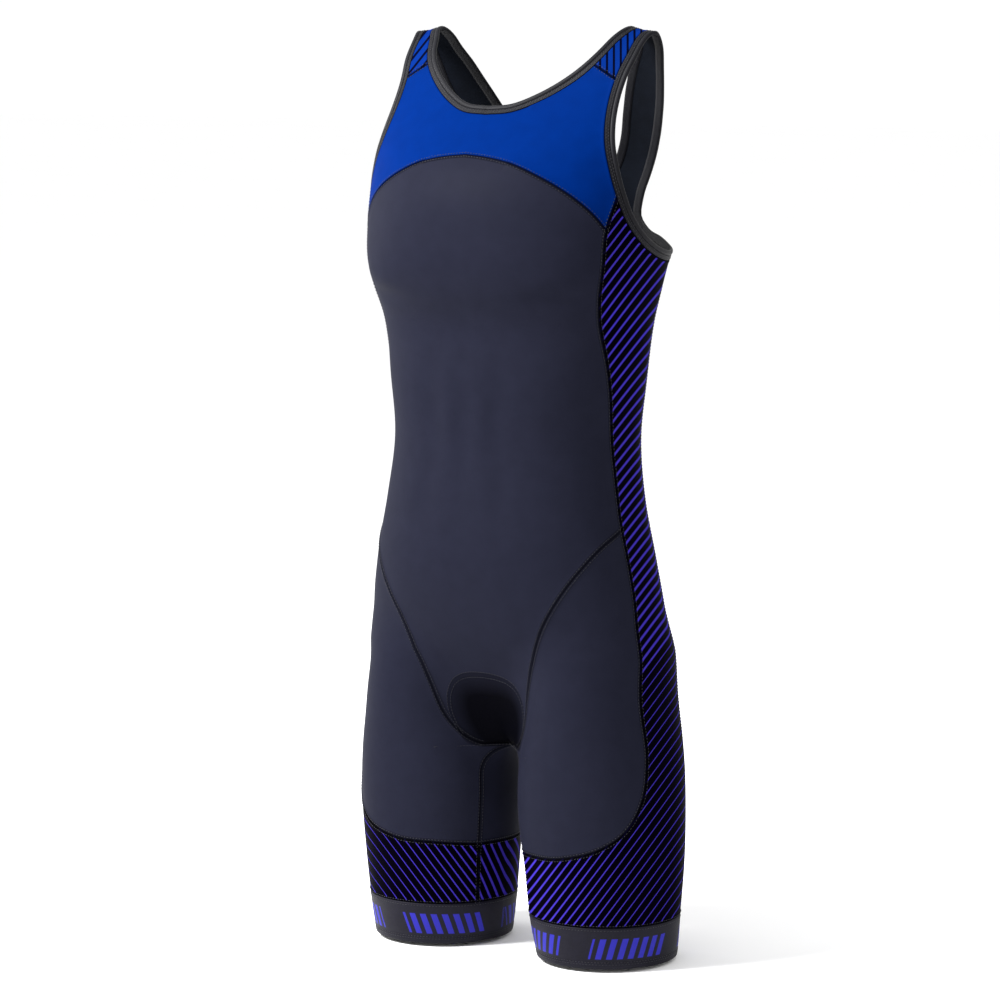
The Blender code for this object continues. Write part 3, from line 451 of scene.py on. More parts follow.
class Form:
    """The suit's smooth outer surface."""

    def __init__(self, columns=161, samples=241):
        self.body = named_table(BODY_COLUMNS, [(row[0] ** 0.5, *row[1:]) for row in BODY])
        self.leg = named_table(LEG_COLUMNS, LEG)
        self.fillet = named_table(FILLET_COLUMNS, FILLET)
        self.crotch_drop, self.crotch_y = self.find_crotch()
        self.rows = self.section_drops()
        self.around = np.linspace(0, 1, columns)
        outlines = np.stack([self.half_outline(drop, samples) for drop in self.rows])
        self.table = self.even_columns(outlines, samples - 1)

    def section_drops(self):
        """Drops of the sections, closer together at the shoulder line and the crotch."""
        fine = np.linspace(0, 1, FINE_LEVELS) ** 3
        even = np.arange(0, LOWEST, LEVEL_STEP)
        drops = np.concatenate([even, SHOULDER_FINE * fine, self.crotch_drop - CROTCH_FINE * fine,
                                self.crotch_drop + CROTCH_FINE * fine])
        return np.unique(np.round(drops, 7))

    def section(self, drop):
        """A function of x and y that is below 0 inside the suit at this drop."""
        body, leg = self.body(drop ** 0.5), self.leg(drop)
        past = max(drop - SEAT_START, 0)
        fillet = self.fillet(drop).radius
        hidden = LEG_SINK * min(max((LEG_SHOWS - drop) / LEG_EMERGES, 0), 1)

        def field(x, y):
            trunk = outside(x, y - body.centre, body.half_width, body.front, body.back,
                            body.square_front, body.square_back, past, SEAT_END - SEAT_START)
            thigh = hidden + outside(np.abs(x) - leg.centre_x, y - leg.centre_y, leg.half_width,
                                     leg.half_depth, leg.half_depth, leg.square, leg.square)
            share = np.clip(0.5 + 0.5 * (thigh - trunk) / fillet, 0, 1)
            return thigh * (1 - share) + trunk * share - fillet * share * (1 - share)

        return field

    def find_crotch(self):
        """The drop and depth of the lowest point between the legs."""
        high, low = CROTCH_DROPS
        y = np.linspace(*CROTCH_DEPTHS, 1201)
        for _ in range(40):
            middle = (high + low) / 2
            if (self.section(middle)(0 * y, y) < 0).any():
                high = middle
            else:
                low = middle
        return high, y[np.argmin(self.section(high)(0 * y, y))]

    def half_outline(self, drop, samples):
        """Points of a section from centre front, or inseam, past the side to the back."""
        share = np.linspace(0, 1, samples)
        body, leg = self.body(drop ** 0.5), self.leg(drop)
        if drop < OVAL_ABOVE:
            halves = []
            for depth, square in ((-body.front, body.square_front), (body.back, body.square_back)):
                angle = share * pi / 2
                x = body.half_width * np.cos(angle) ** (2 / square)
                x[-1] = 0
                halves.append(np.stack([x, body.centre + depth * np.sin(angle) ** (2 / square)], 1))
            return np.concatenate([halves[0][::-1], halves[1][1:]])
        field = self.section(drop)
        span = (OVAL_ABOVE, self.crotch_drop)
        x0 = np.interp(drop, span, (MIDDLE_START, leg.centre_x))
        y0 = np.interp(drop, span + (HEM,), (body.centre, self.crotch_y, leg.centre_y))
        turn_front = turn_back = pi
        if drop < self.crotch_drop:
            past = np.array([PAST_CENTRE])
            ends = [edge_distance(lambda r: field(0 * r, y0 + way * r), past)[0]
                    for way in (-1, 1)]
            turn_front, turn_back = [np.arctan2(end, -x0) for end in ends]
        angle = np.concatenate([-turn_front * share[::-1], turn_back * share[1:]])
        cosine, sine = np.cos(angle), np.sin(angle)
        to_middle = np.minimum(PAST_SUIT, x0 / np.maximum(-cosine, 1e-9))
        far = np.where(cosine < 0, to_middle, PAST_SUIT)
        r = edge_distance(lambda r: field(x0 + r * cosine, y0 + r * sine), far)
        return np.stack([x0 + r * cosine, y0 + r * sine], 1)

    def even_columns(self, outlines, side):
        """The sections again, with their points at even shares of the way around."""
        length = running(np.linalg.norm(np.diff(outlines, axis=1), axis=2))
        length -= length[:, side:side + 1]
        front, back = -length[:, 0], length[:, -1]
        calm_front, calm_back = self.calmed(front), self.calmed(back)
        a = self.around
        near_front = np.clip(1 - a / QUARTER, 0, 1) ** 2
        near_back = np.clip(1 - (1 - a) / QUARTER, 0, 1) ** 2
        table = np.zeros((len(self.rows), len(a), 3))
        for row, drop in enumerate(self.rows):
            to_front = calm_front[row] * (1 - 2 * a) + (front - calm_front)[row] * near_front
            to_back = calm_back[row] * (2 * a - 1) + (back - calm_back)[row] * near_back
            want = np.where(a < 0.5, -to_front, to_back)
            for axis in (0, 1):
                table[row, :, axis] = np.interp(want, length[row], outlines[row, :, axis])
            table[row, :, 2] = -drop
        return table

    def calmed(self, lengths, window=0.09, step=0.0005):
        """Lengths along the suit without the sudden change at the crotch."""
        fine = np.arange(self.rows[0], self.rows[-1], step)
        value = np.interp(fine, self.rows, lengths)
        k = int(window / step / 2)
        for _ in range(2):
            before, after = 2 * value[0] - value[k:0:-1], 2 * value[-1] - value[-2:-k - 2:-1]
            total = np.cumsum(np.concatenate([[0], before, value, after]))
            value = (total[2 * k + 1:] - total[:-2 * k - 1]) / (2 * k + 1)
        return np.interp(self.rows, fine, value)

    def section_drop(self, around, drop):
        """The level of a pattern point. Near the shoulder line and the crotch the
        levels close up, so that the cloth keeps its length where it lies flat."""
        rounded = drop * drop / np.sqrt(drop * drop + SHOULDER_ROUND ** 2)
        past = drop - self.crotch_drop
        folded = self.crotch_drop + past * np.abs(past) / np.sqrt(past * past + CROTCH_ROUND ** 2)
        near = np.clip(1 - np.minimum(around, 1 - around) / QUARTER, 0, 1)
        away = np.clip((np.abs(past) - FOLD_NEAR) / FOLD_FADES, 0, 1)
        near = eased(near) * (1 - eased(away))
        low = np.clip((drop - LOWER_BODY) / LOWER_FADES, 0, 1)
        return (1 - low) * rounded + low * ((1 - near) * drop + near * folded)

    def read(self, table, around, level):
        """A table's values at shares of the way around and levels."""
        row = np.clip(np.searchsorted(self.rows, level) - 1, 0, len(self.rows) - 2)
        part = np.clip((level - self.rows[row]) / (self.rows[row + 1] - self.rows[row]), 0, 1)
        column = around * (len(self.around) - 1)
        left = np.clip(column.astype(int), 0, len(self.around) - 2)
        across = column - left
        if table.ndim > 2:
            across, part = across[..., None], part[..., None]
        upper = table[row, left] * (1 - across) + table[row, left + 1] * across
        lower = table[row + 1, left] * (1 - across) + table[row + 1, left + 1] * across
        return upper * (1 - part) + lower * part

    def at(self, pattern, round_leg=False):
        """Places of pattern points, an array of around and drop. Past 0 or 1, around
        goes on over the other half of the suit or, with round_leg, round the same leg."""
        pattern = np.asarray(pattern, float)
        around, drop = pattern[..., 0], pattern[..., 1]
        over = drop < 0
        around, drop = np.where(over, 1 - around, around), np.abs(drop)
        if round_leg:
            same = drop > self.crotch_drop
            around = np.where(same, around % 1.0, around)
        other_half = (around < 0) | (around > 1)
        around = np.abs(around)
        around = np.where(around > 1, 2 - around, around)
        point = self.read(self.table, around, self.section_drop(around, drop))
        reach = np.clip(1 + point[..., 2] / SLOPE_REACH, 0, 1) ** 2
        point[..., 2] += WALL - SHOULDER_SLOPE * reach * np.maximum(point[..., 0] - STRAP_INNER, 0)
        point[..., 0] *= np.where(other_half, -1, 1)
        return point

    def slopes(self, pattern, round_leg=False, step=0.0015):
        """How the place changes with around and with drop, and the outward normal."""
        pattern = np.asarray(pattern, float)
        a = np.array([step / PATTERN_WIDTH, 0])
        d = np.array([0, step])
        by_around = (self.at(pattern + a, round_leg) - self.at(pattern - a, round_leg)) / (2 * a[0])
        by_drop = (self.at(pattern + d, round_leg) - self.at(pattern - d, round_leg)) / (2 * d[1])
        return by_around, by_drop, unit(np.cross(by_drop, by_around))

    def moved(self, pattern, push, round_leg=False):
        """Pattern points after their places are pushed along the cloth."""
        by_around, by_drop, _ = self.slopes(pattern, round_leg)
        aa, dd = (by_around ** 2).sum(-1), (by_drop ** 2).sum(-1)
        ad = (by_around * by_drop).sum(-1)
        pa, pd = (by_around * push).sum(-1), (by_drop * push).sum(-1)
        spread = aa * dd - ad * ad
        change = np.stack([(pa * dd - pd * ad) / spread, (pd * aa - pa * ad) / spread], -1)
        return pattern + change


def edge_distance(field, far, rounds=22):
    """Where a field turns from below 0 to above it, between 0 and far."""
    near = np.zeros_like(far)
    for _ in range(rounds):
        middle = (near + far) / 2
        inside = field(middle) < 0
        near, far = np.where(inside, middle, near), np.where(inside, far, middle)
    return (near + far) / 2


def steps_over(form, ends, step, round_leg=False):
    """How many steps a stretch of seam is drawn in."""
    start, end = form.at(ends, round_leg)
    return max(1, round(float(np.linalg.norm(end - start)) / step))


def draw_line(form, rows, round_leg=False):
    """A smooth seam through a table's points. Gives its pattern points and the
    number of the point at each mark."""
    points = np.array([row[:2] for row in rows], float)
    knots = running(np.linalg.norm(np.diff(points * (PATTERN_WIDTH, 1), axis=0), axis=1))
    read = smooth_table(np.column_stack([knots, points]))
    line, marks = [points[0]], {}
    for k, row in enumerate(rows[1:]):
        ends = points[k:k + 2]
        step = SHOULDER_STEP if np.abs(ends[:, 1]).mean() < SHOULDER_BELOW else SEAM_STEP
        count = steps_over(form, ends, step, round_leg)
        line += [read(s)[1:] for s in np.linspace(knots[k], knots[k + 1], count + 1)[1:]]
        marks.update({mark: len(line) - 1 for mark in row[2:]})
    return np.array(line), marks


def corner_push(before, after, normal, distance):
    """The push that moves a corner sideways, to the left of its way, by the distance
    from both of its edges."""
    sides = []
    for edge in (before, after):
        side = np.cross(normal, edge)
        sides.append(side / np.maximum(np.linalg.norm(side, axis=-1, keepdims=True), 1e-12))
    both = sides[0] + sides[1]
    length = np.maximum(np.linalg.norm(both, axis=-1, keepdims=True), 1e-9)
    lean = np.clip(length / 2, SHARPEST, 1)
    return both / length * distance / lean


def shifted(form, line, distance, closed=False, round_leg=False, ends=None, rounds=1):
    """A line moved along the cloth, to the left of its way, by a distance."""
    for _ in range(rounds):
        place = form.at(line, round_leg)
        if closed:
            before = place - np.roll(place, 1, axis=0)
            after = following(place) - place
        else:
            step = np.diff(place, axis=0)
            first, last = (step[:1], step[-1:]) if ends is None else ends
            before, after = np.concatenate([first, step]), np.concatenate([step, last])
        normal = form.slopes(line, round_leg)[2]
        push = corner_push(before, after, normal, distance / rounds)
        line = form.moved(line, push, round_leg)
    return line


def flipped(line):
    """The same points, named from the other face of the suit."""
    return np.column_stack([1 - line[:, 0], -line[:, 1]])


def mirrored(line):
    """The same line on the other half, drawn the other way."""
    return (line * np.array([-1, 1]))[::-1]


def doubled(line):
    """A closed line over the whole suit, from its left half."""
    return joined(line, mirrored(line))


def joined(*lines):
    """One closed outline from lines that follow each other."""
    outline = [lines[0][0]]
    for line in lines:
        for point in line:
            if np.abs(point - outline[-1]).max() > 1e-7:
                outline.append(point)
    if np.abs(outline[0] - outline[-1]).max() < 1e-7:
        outline.pop()
    return np.array(outline)


def walled(outer, inner, faces):
    """A closed body from two skins that share their triangles, outer and inner."""
    count = len(outer)
    edges = {}
    for face in faces:
        for a, b in zip(face, face[1:] + face[:1]):
            edges[(a, b)] = edges.get((a, b), 0) + 1
    solid = [tuple(face) for face in faces]
    solid += [tuple(count + k for k in reversed(face)) for face in faces]
    for a, b in edges:
        if (b, a) not in edges:
            solid.append((b, a, count + a, count + b))
    return np.concatenate([outer, inner]), solid


def straight(start, end, form):
    """A seam with no curve on the pattern."""
    return np.linspace(start, end, steps_over(form, (start, end), SEAM_STEP) + 1)


class Seams:
    """The suit's seams and free edges on the left half, as pattern lines."""

    def __init__(self, form):
        seat = form.crotch_drop - CROTCH_SEAM
        self.neck, neck_mark = draw_line(form, NECK_EDGE)
        self.arm, arm_mark = draw_line(form, ARM_EDGE)
        step = form.at(self.neck[[1, -2]]) - form.at(self.neck[[0, -1]])
        ends = (step[:1] * (1, -1, -1), -step[1:] * (1, -1, -1))
        self.neck_sewn = shifted(form, self.neck, -BINDING_WIDTH, ends=ends, rounds=3)
        self.neck_sewn[[0, -1], 0] = 0
        ring = shifted(form, self.arm[:-1], -BINDING_WIDTH, closed=True, rounds=3)
        self.arm_sewn = np.concatenate([ring, flipped(ring[:1])])
        n, a = neck_mark, arm_mark
        self.neck_front = self.neck_sewn[:n["strap_front"] + 1]
        self.neck_strap = self.neck_sewn[n["strap_front"]:n["strap_back"] + 1]
        self.neck_back = self.neck_sewn[n["strap_back"]:]
        self.arm_strap_front = self.arm_sewn[:a["strap_front"] + 1]
        self.arm_yoke = self.arm_sewn[a["strap_front"]:a["side_front"] + 1]
        self.arm_side = self.arm_sewn[a["side_front"]:a["side_back"] + 1]
        self.arm_back = self.arm_sewn[a["side_back"]:a["strap_back"] + 1]
        self.arm_strap_back = self.arm_sewn[a["strap_back"]:]
        self.strap_front = straight(self.neck_strap[0], self.arm_yoke[0], form)
        self.strap_back = straight(self.neck_strap[-1], flipped(self.arm_back[-1:])[0], form)
        self.arc, _ = draw_line(form, YOKE_ARC)
        front, f = draw_line(form, [tuple(self.arm_side[0])] + SIDE_FRONT[1:], round_leg=True)
        self.side_yoke, self.side_front = front[:f["yoke"] + 1], front[f["yoke"]:f["vee"] + 1]
        self.side_thigh = front[f["vee"]:]
        back, b = draw_line(form, [tuple(self.arm_side[-1])] + SIDE_BACK[1:], round_leg=True)
        self.side_back, self.side_thigh_back = back[:b["vee"] + 1], back[b["vee"]:]
        self.vee_front, self.vee_back = (
            draw_line(form, rows[:-1] + [(rows[-1][0], seat)])[0] for rows in (VEE_FRONT, VEE_BACK))
        inseam, i = draw_line(form, [(0, form.crotch_drop)] + INSEAM[1:], round_leg=True)
        self.inseam, self.inseam_band = inseam[:i["band"] + 1], inseam[i["band"]:]
        self.seat_front, self.seat_back = np.array([[0, seat]]), np.array([[1, seat]])
        around = np.linspace(1 + INSEAM[-1][0], INSEAM[-1][0], CUFF_COUNT)
        self.cuff = np.column_stack([around, np.full(CUFF_COUNT, GRIPPER_TOP)])


def whole_round(line):
    """A copy of a line once round the leg from where it was."""
    return line + np.array([1, 0])


def looped(rings):
    """A closed ring of cloth from equal closed sections, one after the other."""
    count, size = len(rings), len(rings[0])
    faces = []
    for k in range(count):
        for j in range(size):
            a, b = k * size + j, k * size + (j + 1) % size
            c, d = (k + 1) % count * size + (j + 1) % size, (k + 1) % count * size + j
            faces.append((a, b, c, d))
    return np.concatenate(rings), faces


def pad_place(form, across, reach):
    """The place on the cloth of a point of the seat pad. The front and the back of
    the suit are blended into each other under the crotch."""
    share = eased(np.clip(reach / PAD_BLEND + 0.5, 0, 1))[..., None]
    off = np.abs(across) / PATTERN_WIDTH
    crotch = form.crotch_drop
    front = form.at(np.stack([off, crotch - np.maximum(-reach, 0)], -1))
    back = form.at(np.stack([1 - off, crotch - np.maximum(reach, 0)], -1))
    point = front * (1 - share) + back * share
    point[..., 0] = np.abs(point[..., 0]) * np.sign(across)
    return point


def pad_surface(form, across, reach, step=0.002):
    """Places of points of the seat pad on the cloth, and the outward normals there."""
    by_across = pad_place(form, across + step, reach) - pad_place(form, across - step, reach)
    by_reach = pad_place(form, across, reach + step) - pad_place(form, across, reach - step)
    return pad_place(form, across, reach), unit(np.cross(by_reach, by_across))


# Sizes, colours and light that a user may change

def linear(hex_colour):
    """Linear colour from sRGB hex."""
    parts = [int(hex_colour[k:k + 2], 16) / 255 for k in (1, 3, 5)]
    return tuple(c / 12.92 if c <= 0.04045 else ((c + 0.055) / 1.055) ** 2.4 for c in parts)


def length(name, description, default):
    """A size that a user may change."""
    return FloatProperty(name=name, description=description, default=default, min=0,
                         precision=5, unit="LENGTH")


def power(name, description, default):
    """A light's power that a user may change."""
    return FloatProperty(name=name, description=description, default=default, min=0,
                         unit="POWER")


def colour(name, description, default):
    """A colour that a user may change, from its sRGB hex."""
    return FloatVectorProperty(name=name, description=description, default=linear(default),
                               subtype="COLOR", size=3, min=0, max=1)


class SuitSizes(bpy.types.PropertyGroup):
    """How finely the cloth is drawn, and its sewn details"""
    cell: length("Cell", "How far apart a panel's points lie", 0.0052)
    seat_cell: length("Seat cell", "How far apart they lie round the crotch", 0.0034)
    groove: length("Groove", "How deep the cloth dips where two panels meet", 0.0006)
    groove_width: length("Groove width", "How far from the seam the dip reaches", 0.0009)
    welt: length("Welt", "How far the seam allowance lifts the cloth beside a seam", 0.0005)
    welt_at: length("Welt centre", "How far from the seam the lifted strip lies", 0.0024)
    needle_gap: length("Needle gap", "From the seam to each row of stitches", 0.0022)
    stitch: length("Stitch", "Length of one visible stitch", 0.0024)
    pitch: length("Pitch", "From one stitch to the next", 0.0033)
    thread: length("Thread", "Thickness of the sewing thread", 0.00055)
    pad_groove: length("Pad groove", "Depth of the channels in the seat pad", 0.0022)
    dot: length("Dot", "Width of a silicone grip dot", 0.0032)
    dots: IntProperty(name="Dots", description="Grip dots in one row round a leg", default=70,
                      min=8)


class SuitColours(bpy.types.PropertyGroup):
    """The cloths' colours"""
    yoke: colour("Yoke", "Printed blue of the yoke", "#001a54")
    body: colour("Body", "Slate of the body and thigh panels", "#161722")
    # The seat's colour is partly a darker face and partly painted shade between the legs.
    seat: colour("Seat", "Darker face inside the stitched seat oval", "#010104")
    side: colour("Side", "Ground of the striped panels", "#010005")
    stripe: colour("Stripe", "Stripes of the side panels", "#31268a")
    strap_ground: colour("Strap ground", "Blue of the strap inserts", "#021d5c")
    strap_stripe: colour("Strap stripe", "Dark stripes of the strap inserts", "#010212")
    binding: colour("Binding", "Knit binding of the free edges", "#08080c")
    gripper: colour("Gripper", "Elastic band of the leg hems", "#0e0d17")
    mark: colour("Mark", "Printed dashes of the leg hems", "#211f84")
    lining: colour("Lining", "Inner face of the cloth", "#070a11")
    thread: colour("Thread", "Sewing thread", "#18181e")
    pad: colour("Pad", "Cover of the seat pad", "#121318")
    silicone: colour("Silicone", "Grip dots", "#272730")
    floor: colour("Floor", "Studio floor", "#fdfdfd")


class StudioSettings(bpy.types.PropertyGroup):
    """The studio's light"""
    key: power("Key", "Power of the front light", 180)
    side: power("Side", "Power of the light on the wearer's right", 26)
    back: power("Back", "Power of the light behind", 8)
    sky: FloatProperty(name="Sky", description="Brightness of the even white surround",
                       default=1.02, min=0)


def sizes():
    """The sizes that a user may change"""
    return bpy.context.scene.suit_sizes


@lru_cache(maxsize=1)
def drawn():
    """The form and its seams, drawn once."""
    form = Form()
    return form, Seams(form)


# Materials

def add(tree, kind, inputs=(), **settings):
    """A node with its settings, values and links."""
    node = tree.nodes.new(kind)
    for name, value in settings.items():
        setattr(node, name, value)
    for socket, value in dict(inputs).items():
        if isinstance(value, bpy.types.NodeSocket):
            tree.links.new(value, node.inputs[socket])
        else:
            node.inputs[socket].default_value = value
    return node


def maths(tree, operation, first, second=0.0, third=0.0):
    """A Math node's result."""
    return add(tree, "ShaderNodeMath", {0: first, 1: second, 2: third},
               operation=operation).outputs[0]


def tinted(tree, share, first, second, blend="MIX"):
    """Two colours mixed by a share."""
    node = add(tree, "ShaderNodeMix", {0: share, 6: first, 7: second}, data_type="RGBA",
               blend_type=blend)
    return node.outputs[2]


def new_material(name, roughness, sheen=0.0, specular=0.5, ior=1.5):
    """A material and its tree, with the numbers that are even all over."""
    material = bpy.data.materials.new(name)
    material.use_nodes = True
    shader = material.node_tree.nodes["Principled BSDF"]
    for socket, value in (("Roughness", roughness), ("Sheen Weight", sheen),
                          ("Sheen Roughness", SHEEN_ROUGHNESS), ("IOR", ior),
                          ("Specular IOR Level", specular), ("Metallic", 0)):
        shader.inputs[socket].default_value = value
    return material, material.node_tree


def knit_height(tree, wale, course):
    """Ribs of a knit on the pattern's own measures: wales along the cloth and courses
    across it, as heights from 0 to 1."""
    place = pattern_place(tree)
    ribs = [add(tree, "ShaderNodeTexWave",
                {"Vector": place, "Scale": WAVE_LENGTH / pitch, "Distortion": 0.35,
                 "Detail": 1.0, "Detail Scale": 1.5}, bands_direction=direction).outputs["Fac"]
            for direction, pitch in (("X", wale), ("Y", course))]
    return maths(tree, "MULTIPLY", *ribs)


def mottled(tree, base, scale=60.0, depth=0.10):
    """A colour with the faint cloudy unevenness of dyed cloth."""
    cloud = add(tree, "ShaderNodeTexNoise", {"Vector": own_place(tree), "Scale": scale,
                                             "Detail": 4.0})
    shade = add(tree, "ShaderNodeMapRange", {0: cloud.outputs["Fac"], 1: 0.3, 2: 0.7,
                                             3: 1 - depth, 4: 1 + depth}).outputs[0]
    shade = add(tree, "ShaderNodeCombineColor", {0: shade, 1: shade, 2: shade}).outputs[0]
    return tinted(tree, 1.0, base, shade, "MULTIPLY")


def ramp(tree, value, low, high, stops):
    """A number read from a row of stops, each a value and its result."""
    share = add(tree, "ShaderNodeMapRange", {0: value, 1: low, 2: high}).outputs[0]
    node = add(tree, "ShaderNodeValToRGB", {0: share})
    elements = node.color_ramp.elements
    while len(elements) < len(stops):
        elements.new(0.5)
    for element, (at, result) in zip(elements, stops):
        element.position = (at - low) / (high - low)
        element.color = (result, result, result, 1)
    return node.outputs[0]


def seam_dark_and_painted_shade(tree, base, stops):
    """A colour that darkens beside a seam, from stops of millimetres and darkness: partly the
    seam's own dark band, partly painted shade.
    """
    share = ramp(tree, attribute(tree, "edge"), 0.0, 6.0, stops)
    return tinted(tree, share, base, SEAM_BAND_AND_SHADE_COLOUR)


def dressed(material, base, height=None, strength=0.0, distance=0.0):
    """The material with its colour and, where it has a height, with a bump."""
    tree = material.node_tree
    shader = tree.nodes["Principled BSDF"]
    tree.links.new(base, shader.inputs["Base Color"])
    if height is not None:
        bump = add(tree, "ShaderNodeBump", {"Height": height, "Strength": strength,
                                            "Distance": distance})
        tree.links.new(bump.outputs[0], shader.inputs["Normal"])
    return material


def own_place(tree):
    """The piece's own coordinates."""
    return add(tree, "ShaderNodeTexCoord").outputs["Object"]


def pattern_place(tree):
    """The place on the paper pattern."""
    return add(tree, "ShaderNodeUVMap", uv_map="pattern").outputs[0]


def flat_colour(name):
    """A colour of the suit, with its alpha."""
    return (*getattr(bpy.context.scene.suit_colours, name), 1)


def stripes(tree, phase, duty, ground, stripe):
    """Stripes where a phase's fraction lies within a share of its pitch."""
    off = maths(tree, "ABSOLUTE", maths(tree, "SUBTRACT", maths(tree, "FRACT", phase), 0.5))
    half = maths(tree, "MULTIPLY", duty, 0.5)
    share = add(tree, "ShaderNodeMapRange", {0: maths(tree, "SUBTRACT", half, off),
                                             1: -STRIPE_EDGE, 2: STRIPE_EDGE}).outputs[0]
    return tinted(tree, share, ground, stripe)


def attribute(tree, name):
    """A point attribute's number."""
    return add(tree, "ShaderNodeAttribute", attribute_name=name).outputs["Fac"]


def lycra_material(kind):
    """Polyester and elastane warp knit, dyed or heat-printed: a smooth matt face with a
    faint sheen where it turns away, and very fine upright wales."""
    gloss = PLAIN_GLOSS if kind == "body" else PRINT_GLOSS
    material, tree = new_material(f"{kind}_warp_knit", KNIT_ROUGHNESS, *gloss)
    height = knit_height(tree, 0.0011, 0.0016)
    shade = {"body": "plain", "striped": "striped"}.get(kind, "printed")
    if kind == "body":
        # Inside the stitched oval the cloth darkens: partly a darker face, partly painted shade
        # under the crotch.
        inside = ramp(tree, attribute(tree, "oval"), -2.0, 22.0, SEAT_DARK_AND_PAINTED_SHADE)
        base = tinted(tree, inside, flat_colour("body"), flat_colour("seat"))
        welt = ramp(tree, attribute(tree, "oval"), -2.0, 8.0, SEAT_WELT)
        height = maths(tree, "MULTIPLY_ADD", welt, WELT_HEIGHT, height)
    elif kind == "yoke":
        base = flat_colour("yoke")
    else:
        inks = ("side", "stripe") if kind == "striped" else ("strap_ground", "strap_stripe")
        base = stripes(tree, attribute(tree, "phase"), attribute(tree, "duty"),
                       *map(flat_colour, inks))
    # Beside a seam the colour darkens: the seam's own dark band and painted shade.
    base = seam_dark_and_painted_shade(tree, mottled(tree, base, depth=0.05), SEAM_DARK_AND_PAINTED_SHADE[shade])
    # Real wales stand 0.5 mm apart. They are drawn at 1.1 mm, so that they show.
    return dressed(material, base, height, 0.16, 0.0002)


def lining_material():
    """The loop side of the same warp knit: dark, dull and slightly furry."""
    material, tree = new_material("brushed_knit_lining", 0.85, 0.01, 0.04)
    base = mottled(tree, flat_colour("lining"), 90.0, 0.15)
    # Real loops stand 0.6 mm apart. They are drawn at 1.4 mm, so that they show.
    return dressed(material, base, knit_height(tree, 0.0014, 0.0014), 0.35, 0.0003)


def binding_material():
    """Folded elastane jersey tape: charcoal, with fine ribs across its length, their tops painted
    lighter as a painted highlight.
    """
    material, tree = new_material("jersey_binding_tape", 0.5, 0.015, 0.1)
    # Real ribs stand 0.7 mm apart. They are drawn at 1.3 mm, so that they show.
    ribs = knit_height(tree, 0.0013, 0.0011)
    # The rib tops are painted lighter: a painted highlight.
    base = tinted(tree, maths(tree, "MULTIPLY", ribs, 0.35), flat_colour("binding"), RIB_PAINTED_HIGHLIGHT)
    return dressed(material, mottled(tree, base, 120.0, 0.12), ribs, 0.4, 0.0003)


def gripper_material():
    """Woven elastic hem band: dark and dense, ribbed lengthwise, printed with a plain row
    of slanted dashes."""
    material, tree = new_material("ribbed_elastic_band", 0.6, 0.02, 0.1)
    u, v, _ = add(tree, "ShaderNodeSeparateXYZ", {0: pattern_place(tree)}).outputs
    level = add(tree, "ShaderNodeMapRange", {0: v, 1: MARK_TOP, 2: MARK_BOTTOM, 3: -1, 4: 1},
                clamp=False).outputs[0]
    share = maths(tree, "LESS_THAN", maths(tree, "ABSOLUTE", level), 1.0)
    lean = maths(tree, "ADD", u, maths(tree, "MULTIPLY", v, MARK_SLANT))
    for start, pitch, printed in ((0.0, MARK_PITCH, MARK_BAR),
                                  (MARK_START, MARK_GROUP, MARK_SHARE)):
        turns = maths(tree, "DIVIDE", maths(tree, "ADD", lean, start), pitch)
        bar = maths(tree, "LESS_THAN", maths(tree, "FRACT", turns), printed)
        share = maths(tree, "MULTIPLY", share, bar)
    share = maths(tree, "MULTIPLY", share, attribute(tree, "printed"))
    base = tinted(tree, share, mottled(tree, flat_colour("gripper"), 120.0, 0.12),
                  flat_colour("mark"))
    # Real ribs stand 1 mm apart. They are drawn at 1.6 mm, so that they show.
    return dressed(material, base, knit_height(tree, 0.0016, 0.0015), 0.3, 0.0003)


def pad_material():
    """Brushed polyamide cover of a foam seat pad: soft, dull, minutely dimpled."""
    material, tree = new_material("brushed_polyamide_pad_cover", 0.9, 0.03, 0.1)
    # Real perforations stand 2.5 mm apart, as they are drawn.
    cells = add(tree, "ShaderNodeTexVoronoi", {"Vector": own_place(tree), "Scale": 400.0,
                                               "Randomness": 0.15})
    return dressed(material, mottled(tree, flat_colour("pad"), 150.0, 0.2),
                   cells.outputs["Distance"], 0.5, 0.0005)


def thread_material():
    """Twisted polyester sewing thread: charcoal, with a silky gloss, and painted shade in the
    hollows of its twist.
    """
    material, tree = new_material("polyester_sewing_thread", 0.45, 0.02, 0.25)
    # Real plies stand 0.3 mm apart. They are drawn at 0.6 mm.
    twist = add(tree, "ShaderNodeTexWave", {"Vector": own_place(tree),
                                            "Scale": WAVE_LENGTH / 0.0006},
                bands_direction="DIAGONAL").outputs["Fac"]
    # The twist's hollows are painted darker: painted shade.
    base = tinted(tree, maths(tree, "MULTIPLY", twist, 0.3), flat_colour("thread"), THREAD_PAINTED_SHADE)
    return dressed(material, base, twist, 0.2, 0.0001)


def silicone_material():
    """Printed silicone grip dots: smooth, slightly clear and rubbery."""
    material, tree = new_material("printed_silicone", 0.3, ior=1.41)
    return dressed(material, mottled(tree, flat_colour("silicone"), 400.0, 0.08))


def floor_material():
    """Matt painted studio floor: pale, without a gloss."""
    material, tree = new_material("matt_studio_paint", 0.9, specular=0.2)
    return dressed(material, mottled(tree, flat_colour("floor"), 2.0, 0.004))


MAKERS = {"lining": lining_material, "binding": binding_material, "gripper": gripper_material,
          "pad": pad_material, "thread": thread_material, "silicone": silicone_material,
          "floor": floor_material}


@lru_cache(maxsize=None)
def material(name):
    """A material of the suit, made when it is first asked for."""
    return MAKERS[name]() if name in MAKERS else lycra_material(name)


# Making pieces

def put(name, data):
    """A new object in the scene."""
    thing = bpy.data.objects.new(name, data)
    bpy.context.scene.collection.objects.link(thing)
    return thing


